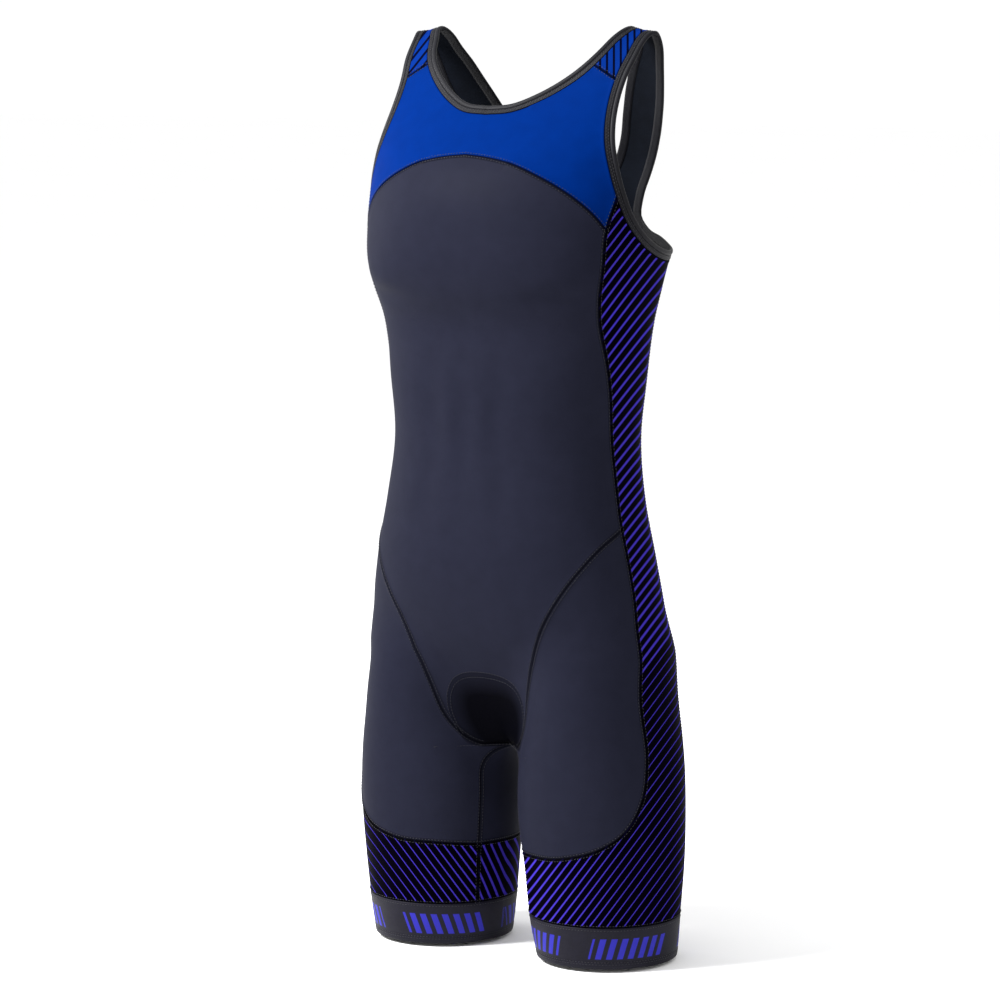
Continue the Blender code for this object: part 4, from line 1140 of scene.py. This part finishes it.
def add_piece(name, points, faces, cloths, face_cloth=None, uv=None, **numbers):
    """A named piece with its place in its mesh. numbers are point attributes, and uv
    gives each point its place on the pattern."""
    mesh = bpy.data.meshes.new(name)
    mesh.from_pydata([tuple(point) for point in points], [], [tuple(face) for face in faces])
    for cloth in cloths:
        mesh.materials.append(material(cloth))
    if face_cloth is not None:
        mesh.polygons.foreach_set("material_index", np.asarray(face_cloth, np.int32))
    for key, values in numbers.items():
        layer = mesh.attributes.new(key, "FLOAT", "POINT")
        layer.data.foreach_set("value", np.asarray(values, np.float32))
    if uv is not None:
        layer = mesh.uv_layers.new(name="pattern")
        corner = np.empty(len(mesh.loops), np.int32)
        mesh.loops.foreach_get("vertex_index", corner)
        layer.data.foreach_set("uv", np.asarray(uv, np.float32)[corner].ravel())
    body = bmesh.new()
    body.from_mesh(mesh)
    if body.calc_volume(signed=True) < 0:
        bmesh.ops.reverse_faces(body, faces=body.faces)
    body.to_mesh(mesh)
    body.free()
    mesh.shade_smooth()
    mesh.set_sharp_from_angle(angle=HARD_EDGE)
    return put(name, mesh)


def mirror_image(points):
    """The same points on the other half of the suit."""
    return np.asarray(points) * np.array([-1, 1, 1])


def sided(points, faces, right):
    """Points and faces, turned over where they belong on the right side."""
    if not right:
        return points, faces
    return mirror_image(points), [tuple(reversed(face)) for face in faces]


def finished(piece, node):
    """Puts a piece in the place of its solid."""
    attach(piece, "root")
    if node:
        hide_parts(node)
    return piece


def distance_to(points, start, end):
    """How far points lie from the nearest of some straight pieces of line."""
    way, size = end - start, np.maximum(((end - start) ** 2).sum(1), 1e-12)
    near = []
    for part in np.array_split(points, max(1, len(points) * len(start) // AT_ONCE)):
        from_start = part[:, None] - start[None]
        share = np.clip((from_start * way).sum(-1) / size, 0, 1)[..., None]
        near.append(np.linalg.norm(from_start - share * way, axis=-1).min(1))
    return np.concatenate(near)


def filled(outline, rims, form):
    """Pattern points and triangles that fill an outline, with extra rows along it."""
    size = np.array([PATTERN_WIDTH, 1])
    loop = outline * size
    ahead = following(loop)
    low, high = loop.min(0), loop.max(0)
    inner = []
    for offset, rim in rims:
        row = rim * size
        inner.append(row[distance_to(row, loop, ahead) > RIM_CLEAR * offset])
    crotch = form.crotch_drop
    for cell, at_seat in ((sizes().cell, False), (sizes().seat_cell, True)):
        down = np.arange(low[1] + cell / 2, high[1], cell * ROW_PITCH)
        across = np.arange(low[0], high[0], cell)
        grid = np.stack(np.meshgrid(across, down), -1)
        grid[::2, :, 0] += cell / 2
        grid = grid.reshape(-1, 2)
        around = grid[:, 0] / PATTERN_WIDTH
        off = np.minimum(np.abs(around), np.abs(1 - around))
        past = np.abs(grid[:, 1]) - crotch
        near = (past > -SEAT_ABOVE) & (past < SEAT_BELOW) & (off < SEAT_AROUND)
        grid = grid[near == at_seat]
        if len(grid):
            clear = rims[-1][0] + CELL_CLEAR * cell
            inner.append(grid[distance_to(grid, loop, ahead) > clear])
    points = [Vector(point) for point in np.concatenate([loop, *inner])]
    rim = [(k, (k + 1) % len(loop)) for k in range(len(loop))]
    found, _, faces, _, _, _ = delaunay_2d_cdt(points, rim, [], 1, 1e-7)
    used, faces = np.unique(faces, return_inverse=True)
    return np.array([tuple(found[k]) for k in used]) / size, faces.reshape(-1, 3).tolist()


def sewn_relief(off):
    """How far the cloth stands up at a distance from its seam: a dip at the seam, and the
    strip that the seam allowance lifts beside it."""
    s = sizes()
    dip = s.groove * np.exp(-(off / s.groove_width) ** 2)
    lift = s.welt * np.exp(-((off - s.welt_at) / (0.5 * s.welt_at)) ** 4)
    return lift - dip


def soft_relief(pattern):
    """How far soft folds lift or sink the cloth, the same on both sides of the suit."""
    around = np.abs(pattern[:, 0])
    height = np.zeros(len(pattern))
    for middle, drop, wide, tall, rise in SOFT_RELIEF:
        off = ((around - middle) / wide) ** 2 + ((pattern[:, 1] - drop) / tall) ** 2
        height += rise * np.exp(-off)
    return height


def seat_oval():
    """The stitched oval on the outside of the seat: across and reach of its line."""
    read = smooth_table([(k, *row) for k, row in enumerate(OVAL)])
    reach, half = read(np.linspace(0, len(OVAL) - 1, OVAL_POINTS))[:, 1:].T
    return np.concatenate([np.stack([half, reach], 1), np.stack([-half, reach], 1)[-2:0:-1]])


def oval_depth(pattern):
    """How far inside the stitched oval points of the cloth lie, in millimetres. The front
    and the back each have their part of it, which ends just under the crotch."""
    form, _ = drawn()
    around, over = pattern[:, 0], np.abs(pattern[:, 1]) - form.crotch_drop
    around = np.where(around > 1, around - 1, around)
    around = np.where(pattern[:, 1] < 0, 1 - around, around)
    at_back = around > 0.5
    across = np.abs(np.where(at_back, 1 - around, around)) * PATTERN_WIDTH
    near = (over > -SEAT_WIDE) & (over < OVAL_UNDER * 2) & (across < SEAT_WIDE / 2)
    depth = np.full(len(pattern), OVAL_FAR)
    half = seat_oval()[:OVAL_POINTS]
    turn = np.linspace(0, pi / 2, UNDER_COUNT)
    for back, way in ((False, 1), (True, -1)):
        edge = half[half[:, 1] * way < 0] * (1, way)
        edge = edge[np.argsort(edge[:, 1])]
        under = np.stack([edge[-1, 0] * np.cos(turn), OVAL_UNDER * np.sin(turn)], 1)
        edge = np.concatenate([edge, under])
        allowed = np.interp(over, edge[:, 1], edge[:, 0], left=-1, right=-1)
        some = np.flatnonzero((at_back == back) & near)
        if len(some):
            place = np.column_stack([across, over])[some]
            off = distance_to(place, edge[:-1], edge[1:]) * 1000
            depth[some] = np.where(across[some] < allowed[some], off, -off)
    return depth


def stripe_table(form, side, calm):
    """The stripes' phase on the form before its height is added. Round the suit it grows
    at least at a set rate, so that the stripes always climb towards the back. A calm
    table has no sudden change down the body."""
    plane = np.array(side.plane[:2])
    place = form.table[..., :2]
    step = np.diff(place, axis=1)
    run = np.linalg.norm(step, axis=2)
    grows = np.maximum(step @ plane, STRIPE_LEAST * run)
    behind = np.clip((form.around[1:] - STRIPE_TURN) / STRIPE_BLEND, 0, 1)
    grows = grows * (1 - behind) + STRIPE_BEHIND * run * behind
    total = running(grows)
    column = round(side.anchor * (len(form.around) - 1))
    fixed = place[:, column] @ plane + side.start
    table = total + (fixed - total[:, column])[:, None]
    if calm:
        even = np.stack([form.calmed(line) for line in table.T], 1)
        share = np.clip((STRIPE_CALM - form.rows) / STRIPE_BLEND, 0, 1)[:, None]
        table = table * (1 - share) + even * share
    return table


def cut_cloth(form, outline, round_leg):
    """A cloth panel in fine triangles: its pattern points, both skins, and how far each
    point lies from the panel's edge."""
    ahead = following(outline)
    turn = (outline[:, 0] * ahead[:, 1] - outline[:, 1] * ahead[:, 0]).sum()
    way = -1 if turn > 0 else 1
    rims = [(offset, shifted(form, outline, way * offset, True, round_leg))
            for offset in RIM_ROWS]
    pattern, faces = filled(outline, rims, form)
    outer = form.at(pattern, round_leg)
    normal = form.slopes(pattern, round_leg)[2]
    rim = form.at(outline, round_leg)
    off = distance_to(outer, rim, following(rim))
    if not round_leg:
        outer = outer + soft_relief(pattern)[:, None] * normal
    inner = outer - WALL * normal
    outer = outer + sewn_relief(off)[:, None] * normal
    return pattern, faces, outer, inner, off


def add_panel(name, cut, cloth, slot, flat, area, right=False, stripe=None):
    """A cloth panel, with its inner face in the lining."""
    pattern, faces, outer, inner, off = cut
    points, solid = walled(outer, inner, faces)
    face_cloth = [0] * len(faces) + [1] * len(faces) + [0] * (len(solid) - 2 * len(faces))
    numbers = {"edge": off * 1000}
    if cloth == "body":
        numbers["oval"] = oval_depth(pattern)
    if stripe is not None:
        numbers["phase"], numbers["duty"] = stripe(pattern, outer, right)
    numbers = {key: np.tile(values, 2) for key, values in numbers.items()}
    uv = np.concatenate([pattern, pattern]) * (PATTERN_WIDTH, 1)
    piece = add_piece(name + "_cloth", *sided(points, solid, right), (cloth, "lining"),
                      face_cloth, uv, **numbers)
    finished(piece, name)


def side_stripes(pattern, places, right):
    """Phase and share of the side panel's stripes. The share widens down to the hip and is
    thin on the leg, most of all on its outer side."""
    form, _ = drawn()
    side = STRIPES_RIGHT if right else STRIPES_LEFT
    table = stripe_table(form, side, right)
    around, drop = pattern.T
    level = form.section_drop(np.clip(around, 0, 1), np.abs(drop))
    here, past, middle = (form.read(table, np.clip(share, 0, 1), level)
                          for share in (around, around - 1, 0 * around))
    phase = here + np.where(around > 1, past - middle, 0) + side.plane[2] * places[:, 2]
    folded = np.where(around > 1, around - 1, np.minimum(around, 1 - around))
    torso = np.interp(drop, *zip(*STRIPE_TORSO))
    leg = np.interp(folded, *zip(*side.leg))
    thin = (drop - STRIPE_THIN_DROP) / STRIPE_THIN_FADE if right else phase - STRIPE_THIN
    thin = np.clip(thin, 0, 1)
    return phase - side.offset + 0.5, torso * (1 - thin) + leg * thin


def strap_stripes(pattern, places, right):
    """Phase and share of the strap insert's dark stripes."""
    plane = STRAP_RIGHT if right else STRAP_LEFT
    return places @ np.array(plane[:3]) + plane[3], np.full(len(places), STRAP_DUTY)


@lru_cache(maxsize=1)
def outlines():
    """Each panel's outline on the pattern, and if it goes round the leg."""
    _, s = drawn()
    yoke = joined(s.arc, s.side_yoke[::-1], s.arm_yoke[::-1], s.strap_front[::-1],
                  s.neck_front[::-1])
    front = joined(s.arc, s.side_front, s.vee_front, s.seat_front)
    back_side = [flipped(line) for line in (s.arm_back[::-1], s.side_back, s.vee_back, s.seat_back)]
    back = joined(s.neck_back[::-1], s.strap_back, *back_side)
    strap = joined(s.strap_front, s.arm_strap_front[::-1], flipped(s.arm_strap_back[::-1]),
                   s.strap_back[::-1], s.neck_strap[::-1])
    side = joined(s.arm_side, s.side_back, s.side_thigh_back, whole_round(s.inseam_band), s.cuff,
                  s.inseam_band[::-1], s.side_thigh[::-1], s.side_front[::-1], s.side_yoke[::-1])
    thigh_front = joined(s.seat_front, s.vee_front[::-1], s.side_thigh, s.inseam[::-1])
    thigh_back = joined(s.seat_back, s.vee_back[::-1], s.side_thigh_back,
                        whole_round(s.inseam[::-1]))
    return {"yoke": (doubled(yoke), False), "front_panel": (doubled(front), False),
            "back_panel": (doubled(back), False),
            "strap": (strap, False), "side": (side, True),
            "thigh_front": (thigh_front, True), "thigh_back": (thigh_back, True)}


def sew(name, cloth, slot, stripe=None):
    """A panel, or a pair of them, cut from its outline."""
    form, _ = drawn()
    cut = cut_cloth(form, *outlines()[name])
    if name in PAIRED:
        for side in ("left", "right"):
            add_panel(f"{name}_{side}", cut, cloth, slot, *FLAT[name], side == "right", stripe)
    else:
        add_panel(name, cut, cloth, slot, *FLAT[name])


def ring_section():
    """The binding's fine section, across from its free edge and above the cloth: a round
    roll, a stitched dip and a flat flange, and its flat inner side."""
    width, under = BINDING_WIDTH + BINDING_LAP, WALL + BINDING_PROUD
    half, middle = BINDING_ROLL_WIDTH / 2, ROLL_MIDDLE * WALL
    high = BINDING_ROLL - middle + ROLL_OVER
    top = [(half * (1 - np.cos(a)), middle + high * np.sin(a) ** ROLL_FULL)
           for a in np.linspace(0, pi, ROLL_COUNT)[:-1]]
    flange = [(BINDING_ROLL_WIDTH + step, BINDING_PROUD * rise) for step, rise in FLANGE]
    end = [(width - SEWN_OVER, BINDING_PROUD * FLANGE[-2][1]), (width, 0.0), (width, -WALL),
           (width - SEWN_UNDER, -under)]
    below = [(across, above - under) for across, above in INNER_SIDE]
    return top + flange + end + below + [(INNER_START[0], INNER_START[1] * under)]


def fine_ring(form, line, section):
    """A binding's points and faces, and each point's place along and across it."""
    place = form.at(line)
    along = running(np.linalg.norm(following(place) - place, axis=1)[:-1])
    columns = []
    for across, above in section:
        edge = shifted(form, line, -across, closed=True, rounds=3) if across else line
        columns.append(form.at(edge) + above * form.slopes(edge)[2])
    points, faces = looped(list(np.stack(columns, axis=1)))
    across = np.cumsum([0] + [np.hypot(*step) for step in np.diff(section, axis=0)])
    uv = np.stack([np.tile(across, len(line)), np.repeat(along, len(section))], 1)
    return points, faces, uv


# Stitches and grip dots, made by Geometry Nodes

def bead_tree(name, on_curve):
    """A node tree that lays small beads on points or along lines."""
    tree = bpy.data.node_groups.new(name, "GeometryNodeTree")
    for label, kind in (("Geometry", "Geometry"), ("Pitch", "Float"), ("Bead length", "Float"),
                        ("Bead width", "Float"), ("Bead height", "Float"),
                        ("Material", "Material")):
        tree.interface.new_socket(label, in_out="INPUT", socket_type="NodeSocket" + kind)
    tree.interface.new_socket("Geometry", in_out="OUTPUT", socket_type="NodeSocketGeometry")
    source = add(tree, "NodeGroupInput").outputs
    points = source["Geometry"]
    along, up = (add(tree, "GeometryNodeInputNamedAttribute", {"Name": key},
                     data_type="FLOAT_VECTOR").outputs[0] for key in ("along", "up"))
    if on_curve:
        curve = add(tree, "GeometryNodeMeshToCurve", {"Mesh": points}).outputs[0]
        points = add(tree, "GeometryNodeResampleCurve", {"Curve": curve, "Length": source["Pitch"]},
                     mode="LENGTH").outputs[0]
        along = add(tree, "GeometryNodeInputTangent").outputs[0]
    turn = add(tree, "FunctionNodeAlignRotationToVector", {"Vector": along}, axis="X").outputs[0]
    turn = add(tree, "FunctionNodeAlignRotationToVector", {"Rotation": turn, "Vector": up},
               axis="Z", pivot_axis="X").outputs[0]
    size = add(tree, "ShaderNodeCombineXYZ", {0: source["Bead length"], 1: source["Bead width"],
                                              2: source["Bead height"]}).outputs[0]
    bead = add(tree, "GeometryNodeMeshIcoSphere", {"Radius": 0.5, "Subdivisions": 1}).outputs[0]
    made = add(tree, "GeometryNodeInstanceOnPoints", {"Points": points, "Instance": bead,
                                                      "Rotation": turn, "Scale": size})
    for kind in ("GeometryNodeRealizeInstances", "GeometryNodeSetShadeSmooth"):
        made = add(tree, kind, {0: made.outputs[0]})
    made = add(tree, "GeometryNodeSetMaterial", {0: made.outputs[0],
                                                 "Material": source["Material"]})
    add(tree, "NodeGroupOutput", {0: made.outputs[0]})
    return tree


def beaded(name, lines, cloth, bead, pitch=None):
    """A piece of small beads: stitches along lines of points with their normals, or
    dots on loose points where there is no pitch."""
    edges, start = [], 0
    for place, _, closed in lines:
        count = len(place)
        if pitch:
            edges += [(start + k, start + (k + 1) % count) for k in range(count - (not closed))]
        start += count
    mesh = bpy.data.meshes.new(name)
    mesh.from_pydata(np.concatenate([place for place, _, _ in lines]).tolist(), edges, [])
    for key, values in (("up", [up for _, up, _ in lines]),
                        ("along", [following(place) - place for place, _, _ in lines])):
        layer = mesh.attributes.new(key, "FLOAT_VECTOR", "POINT")
        layer.data.foreach_set("vector", np.concatenate(values).astype(np.float32).ravel())
    guide = put(name + "_guide", mesh)
    tree = bead_tree(name + "_nodes", pitch is not None)
    modifier = guide.modifiers.new("beads", "NODES")
    modifier.node_group = tree
    wanted = {"Pitch": pitch or 0.0, "Bead length": bead[0], "Bead width": bead[1],
              "Bead height": bead[2], "Material": material(cloth)}
    for socket in tree.interface.items_tree:
        if socket.in_out == "INPUT" and socket.name in wanted:
            modifier[socket.identifier] = wanted[socket.name]
    view = guide.evaluated_get(bpy.context.evaluated_depsgraph_get())
    made = bpy.data.meshes.new_from_object(view)
    bpy.data.objects.remove(guide, do_unlink=True)
    made.name = name
    return finished(put(name, made), None)


def stitch_row(form, line, across, above, round_leg=False, closed=False):
    """Places and normals of a stitch row beside a line, on the left and on the right."""
    edge = shifted(form, line, across, closed, round_leg) if across else line
    normal = form.slopes(edge, round_leg)[2]
    place = form.at(edge, round_leg) + above * normal
    return [(place, normal, closed), (mirror_image(place), mirror_image(normal), closed)]


def aimed(name, data, place):
    """A light or a camera at its place, turned to the suit."""
    thing = put(name, data)
    thing.location = place
    way = Vector(CAMERA_AIM) - Vector(place)
    thing.rotation_euler = way.to_track_quat("-Z", "Y").to_euler()
    return thing


class SuitOperator:
    """What the suit's operators share"""
    bl_options = {"REGISTER", "UNDO"}


class SUIT_OT_yoke(SuitOperator, bpy.types.Operator):
    """Sews the printed front yoke"""
    bl_idname = "suit.yoke"
    bl_label = "Yoke"

    def execute(self, context):
        sew("yoke", "yoke", "yoke_lycra")
        return {"FINISHED"}


class SUIT_OT_body(SuitOperator, bpy.types.Operator):
    """Sews the front and back body panels"""
    bl_idname = "suit.body_panels"
    bl_label = "Body panels"

    def execute(self, context):
        for name in ("front_panel", "back_panel"):
            sew(name, "body", "body_lycra")
        return {"FINISHED"}


class SUIT_OT_thighs(SuitOperator, bpy.types.Operator):
    """Sews the front and back thigh panels"""
    bl_idname = "suit.thigh_panels"
    bl_label = "Thigh panels"

    def execute(self, context):
        for name in ("thigh_front", "thigh_back"):
            sew(name, "body", "body_lycra")
        return {"FINISHED"}


class SUIT_OT_sides(SuitOperator, bpy.types.Operator):
    """Sews the striped side panels with their leg bands"""
    bl_idname = "suit.side_panels"
    bl_label = "Side panels"

    def execute(self, context):
        sew("side", "striped", "striped_lycra", side_stripes)
        return {"FINISHED"}


class SUIT_OT_straps(SuitOperator, bpy.types.Operator):
    """Sews the striped shoulder strap inserts"""
    bl_idname = "suit.straps"
    bl_label = "Strap inserts"

    def execute(self, context):
        sew("strap", "strap", "strap_lycra", strap_stripes)
        return {"FINISHED"}


class SUIT_OT_bindings(SuitOperator, bpy.types.Operator):
    """Folds the knit bindings over the neck and the armholes"""
    bl_idname = "suit.bindings"
    bl_label = "Edge bindings"

    def execute(self, context):
        form, seams = drawn()
        for name, line, sides in (("neck_binding", doubled(seams.neck), ("",)),
                                  ("arm_binding", seams.arm[:-1], ("_left", "_right"))):
            points, faces, uv = fine_ring(form, line, ring_section())
            for side in sides:
                piece = add_piece(name + side + "_tape", *sided(points, faces, side == "_right"),
                                  ("binding",), uv=uv)
                finished(piece, name + side)
        return {"FINISHED"}


class SUIT_OT_grippers(SuitOperator, bpy.types.Operator):
    """Makes the elastic leg bands, with their folded hems and grip dots"""
    bl_idname = "suit.grippers"
    bl_label = "Leg grippers"

    def execute(self, context):
        form, _ = drawn()
        top = GRIPPER_TOP + SEAM_GAP / 2

        def ring(around, share, above):
            pattern = np.column_stack([around, np.full(len(around), top + share * (HEM - top))])
            normal = form.slopes(pattern, True)[2]
            return pattern, form.at(pattern, True) + above * normal, normal

        around = np.arange(GRIPPER_COUNT) / GRIPPER_COUNT
        section = [(share, above, 1.0) for share, above in GRIPPER_SKIN]
        section += [(share, -WALL - above, 0.0) for share, above in reversed(GRIPPER_SKIN)]
        rings = [ring(around, share, above) for share, above, _ in section]
        points, faces = looped(list(np.stack([place for _, place, _ in rings], axis=1)))
        uv = np.stack([pattern for pattern, _, _ in rings], axis=1).reshape(-1, 2)
        printed = np.tile([outside for _, _, outside in section], GRIPPER_COUNT)
        count, dot = sizes().dots, sizes().dot
        dots = [(*ring((np.arange(count) + shift) / count, share, -WALL - GRIPPER_PROUD)[1:], True)
                for share, shift in DOT_ROWS]
        for side in ("left", "right"):
            right = side == "right"
            piece = add_piece(f"gripper_{side}_band", *sided(points, faces, right), ("gripper",),
                              uv=uv * (GRIPPER_ROUND, 1), printed=printed)
            finished(piece, "gripper_" + side)
            lines = [(mirror_image(p), mirror_image(n), c) for p, n, c in dots] if right else dots
            grip = beaded("grip_dots_" + side, lines, "silicone",
                          (dot, dot, DOT_HEIGHT * dot))
        return {"FINISHED"}


class SUIT_OT_pad(SuitOperator, bpy.types.Operator):
    """Moulds the channelled seat pad inside the crotch"""
    bl_idname = "suit.seat_pad"
    bl_label = "Seat pad"

    def execute(self, context):
        form, _ = drawn()
        reach = np.linspace(PAD[0][0], PAD[-1][0], PAD_ALONG)
        side = np.linspace(-1, 1, PAD_ACROSS)
        width = named_table(PAD_COLUMNS, PAD)(reach).half_width[:, None]
        across, along = side * width, np.repeat(reach[:, None], PAD_ACROSS, 1)
        place, normal = pad_surface(form, across, along)
        ends = 1 - np.abs(2 * (reach - reach[0]) / (reach[-1] - reach[0]) - 1) ** PAD_END
        crown = (1 - side ** PAD_SIDE)[None, :] * ends[:, None]
        bow = 2.0 * across * across / CHANNEL_BOW
        off = [across - line * width for line in CHANNELS_ALONG]
        off += [along - line - bow for line in CHANNELS_ACROSS]
        grooves = np.max([np.exp(-(gap / CHANNEL_WIDTH) ** 2) for gap in off], axis=0)
        thick = PAD_EDGE + (PAD_MIDDLE - PAD_EDGE) * crown
        thick = thick - sizes().pad_groove * grooves * crown
        outer = place - (WALL + PAD_CLEARANCE) * normal
        inner = outer - thick[..., None] * normal
        corner = [k * PAD_ACROSS + j for k in range(PAD_ALONG - 1) for j in range(PAD_ACROSS - 1)]
        faces = [[c, c + 1, c + PAD_ACROSS + 1, c + PAD_ACROSS] for c in corner]
        points, solid = walled(outer.reshape(-1, 3), inner.reshape(-1, 3), faces)
        piece = add_piece("seat_pad_cover", points, solid, ("pad",))
        finished(piece, "seat_pad")
        return {"FINISHED"}


class SUIT_OT_stitches(SuitOperator, bpy.types.Operator):
    """Stitches the seams, the bindings, the seat oval and the hems"""
    bl_idname = "suit.stitches"
    bl_label = "Stitches"

    def execute(self, context):
        form, s = drawn()
        size = sizes()
        thread, gap = size.thread, size.needle_gap

        def stitched(name, rows):
            beaded(name, rows, "thread", (size.stitch, thread, thread), size.pitch)

        for name, seams in {
            "yoke_stitches": ((s.arc, False), (s.side_yoke, True), (s.strap_front, False)),
            "torso_stitches": ((s.side_front, True), (s.side_back, True), (s.strap_back, False)),
            "seat_seam_stitches": ((s.vee_front, False), (s.vee_back, False)),
            "leg_stitches": ((s.side_thigh, True), (s.side_thigh_back, True), (s.inseam, True),
                             (s.inseam_band, True)),
        }.items():
            stitched(name, [row for line, round_leg in seams for way in (-1, 1)
                            for row in stitch_row(form, line, way * gap,
                                                  size.welt + THREAD_OVER * thread, round_leg)])
        neck, rows = doubled(s.neck), []
        above = BINDING_PROUD * DIP_HEIGHT + THREAD_SUNK * thread
        for across in BINDING_ROWS:
            rows += stitch_row(form, neck, -across, above, closed=True)[:1]
            rows += stitch_row(form, s.arm[:-1], -across, above, closed=True)
        stitched("binding_stitches", rows)
        oval, rows = seat_oval(), []
        from_middle = np.maximum(np.linalg.norm(oval, axis=1), OVAL_CORE)[:, None]
        for inset in (0.0, OVAL_TWIN):
            place, normal = pad_surface(form, *(oval * (1 - inset / from_middle)).T)
            rows.append((place + THREAD_OVER * thread * normal, normal, True))
        stitched("seat_oval_stitches", rows)
        around, rows = np.arange(CUFF_COUNT) / CUFF_COUNT, []
        for level, above in ((HEM_ROWS[0], GRIPPER_PROUD), (HEM_CLOTH_ROW, size.welt),
                             (HEM_ROWS[1], GRIPPER_PROUD), (HEM_ROWS[2], GRIPPER_PROUD)):
            ring = np.column_stack([around, np.full(CUFF_COUNT, level)])
            rows += stitch_row(form, ring, 0, above + THREAD_SUNK * thread, True, True)
        stitched("hem_stitches", rows)
        return {"FINISHED"}


class SUIT_OT_stage(SuitOperator, bpy.types.Operator):
    """Sets the floor, the lights and the camera"""
    bl_idname = "suit.stage"
    bl_label = "Studio"

    def execute(self, context):
        scene, studio = context.scene, context.scene.studio
        mesh = bpy.data.meshes.new("floor")
        corners = [(x * FLOOR_REACH, y * FLOOR_REACH, FLOOR)
                   for x, y in ((-1, -1), (1, -1), (1, 1), (-1, 1))]
        mesh.from_pydata(corners, [], [(0, 1, 2, 3)])
        mesh.materials.append(material("floor"))
        floor = put("floor", mesh)
        world = bpy.data.worlds.new("studio_white")
        world.use_nodes = True
        sky = world.node_tree.nodes["Background"]
        sky.inputs["Color"].default_value = (1, 1, 1, 1)
        sky.inputs["Strength"].default_value = studio.sky
        scene.world = world
        # The plain transform keeps the printed blue and the white surround as they are.
        scene.view_settings.view_transform = "Standard"
        for name, (place, width) in LIGHTS.items():
            light = bpy.data.lights.new(name + "_light", "AREA")
            light.energy, light.size, light.shape = getattr(studio, name), width, "DISK"
            aimed(name + "_light", light, place)
        lens = bpy.data.cameras.new("camera")
        lens.sensor_width, lens.lens, lens.shift_x = CAMERA_SENSOR, CAMERA_LENS, CAMERA_SHIFT
        lens.clip_end = CAMERA_REACH
        scene.camera = aimed("camera", lens, CAMERA_PLACE)
        return {"FINISHED"}


OPERATORS = (SUIT_OT_yoke, SUIT_OT_body, SUIT_OT_thighs, SUIT_OT_sides, SUIT_OT_straps,
             SUIT_OT_bindings, SUIT_OT_grippers, SUIT_OT_pad, SUIT_OT_stitches, SUIT_OT_stage)


class SUIT_PT_panel(bpy.types.Panel):
    """The suit's pieces in the sidebar"""
    bl_idname = "SUIT_PT_panel"
    bl_label = "Triathlon suit"
    bl_space_type = "VIEW_3D"
    bl_region_type = "UI"
    bl_category = "Suit"

    def draw(self, context):
        for operator in OPERATORS:
            self.layout.operator(operator.bl_idname)
        for group in (context.scene.suit_sizes, context.scene.suit_colours, context.scene.studio):
            box = self.layout.box()
            for key in group.bl_rna.properties.keys():
                if key not in ("rna_type", "name"):
                    box.prop(group, key)


GROUPS = (("suit_sizes", SuitSizes), ("suit_colours", SuitColours), ("studio", StudioSettings))


def register():
    for name, group in GROUPS:
        bpy.utils.register_class(group)
        setattr(bpy.types.Scene, name, PointerProperty(type=group))
    for cls in (*OPERATORS, SUIT_PT_panel):
        bpy.utils.register_class(cls)


def unregister():
    for cls in reversed((*OPERATORS, SUIT_PT_panel)):
        bpy.utils.unregister_class(cls)
    for name, group in reversed(GROUPS):
        delattr(bpy.types.Scene, name)
        bpy.utils.unregister_class(group)


def main():
    register()
    for operator in OPERATORS:
        family, name = operator.bl_idname.split(".")
        getattr(getattr(bpy.ops, family), name)()


if __name__ == "__main__":
    main()
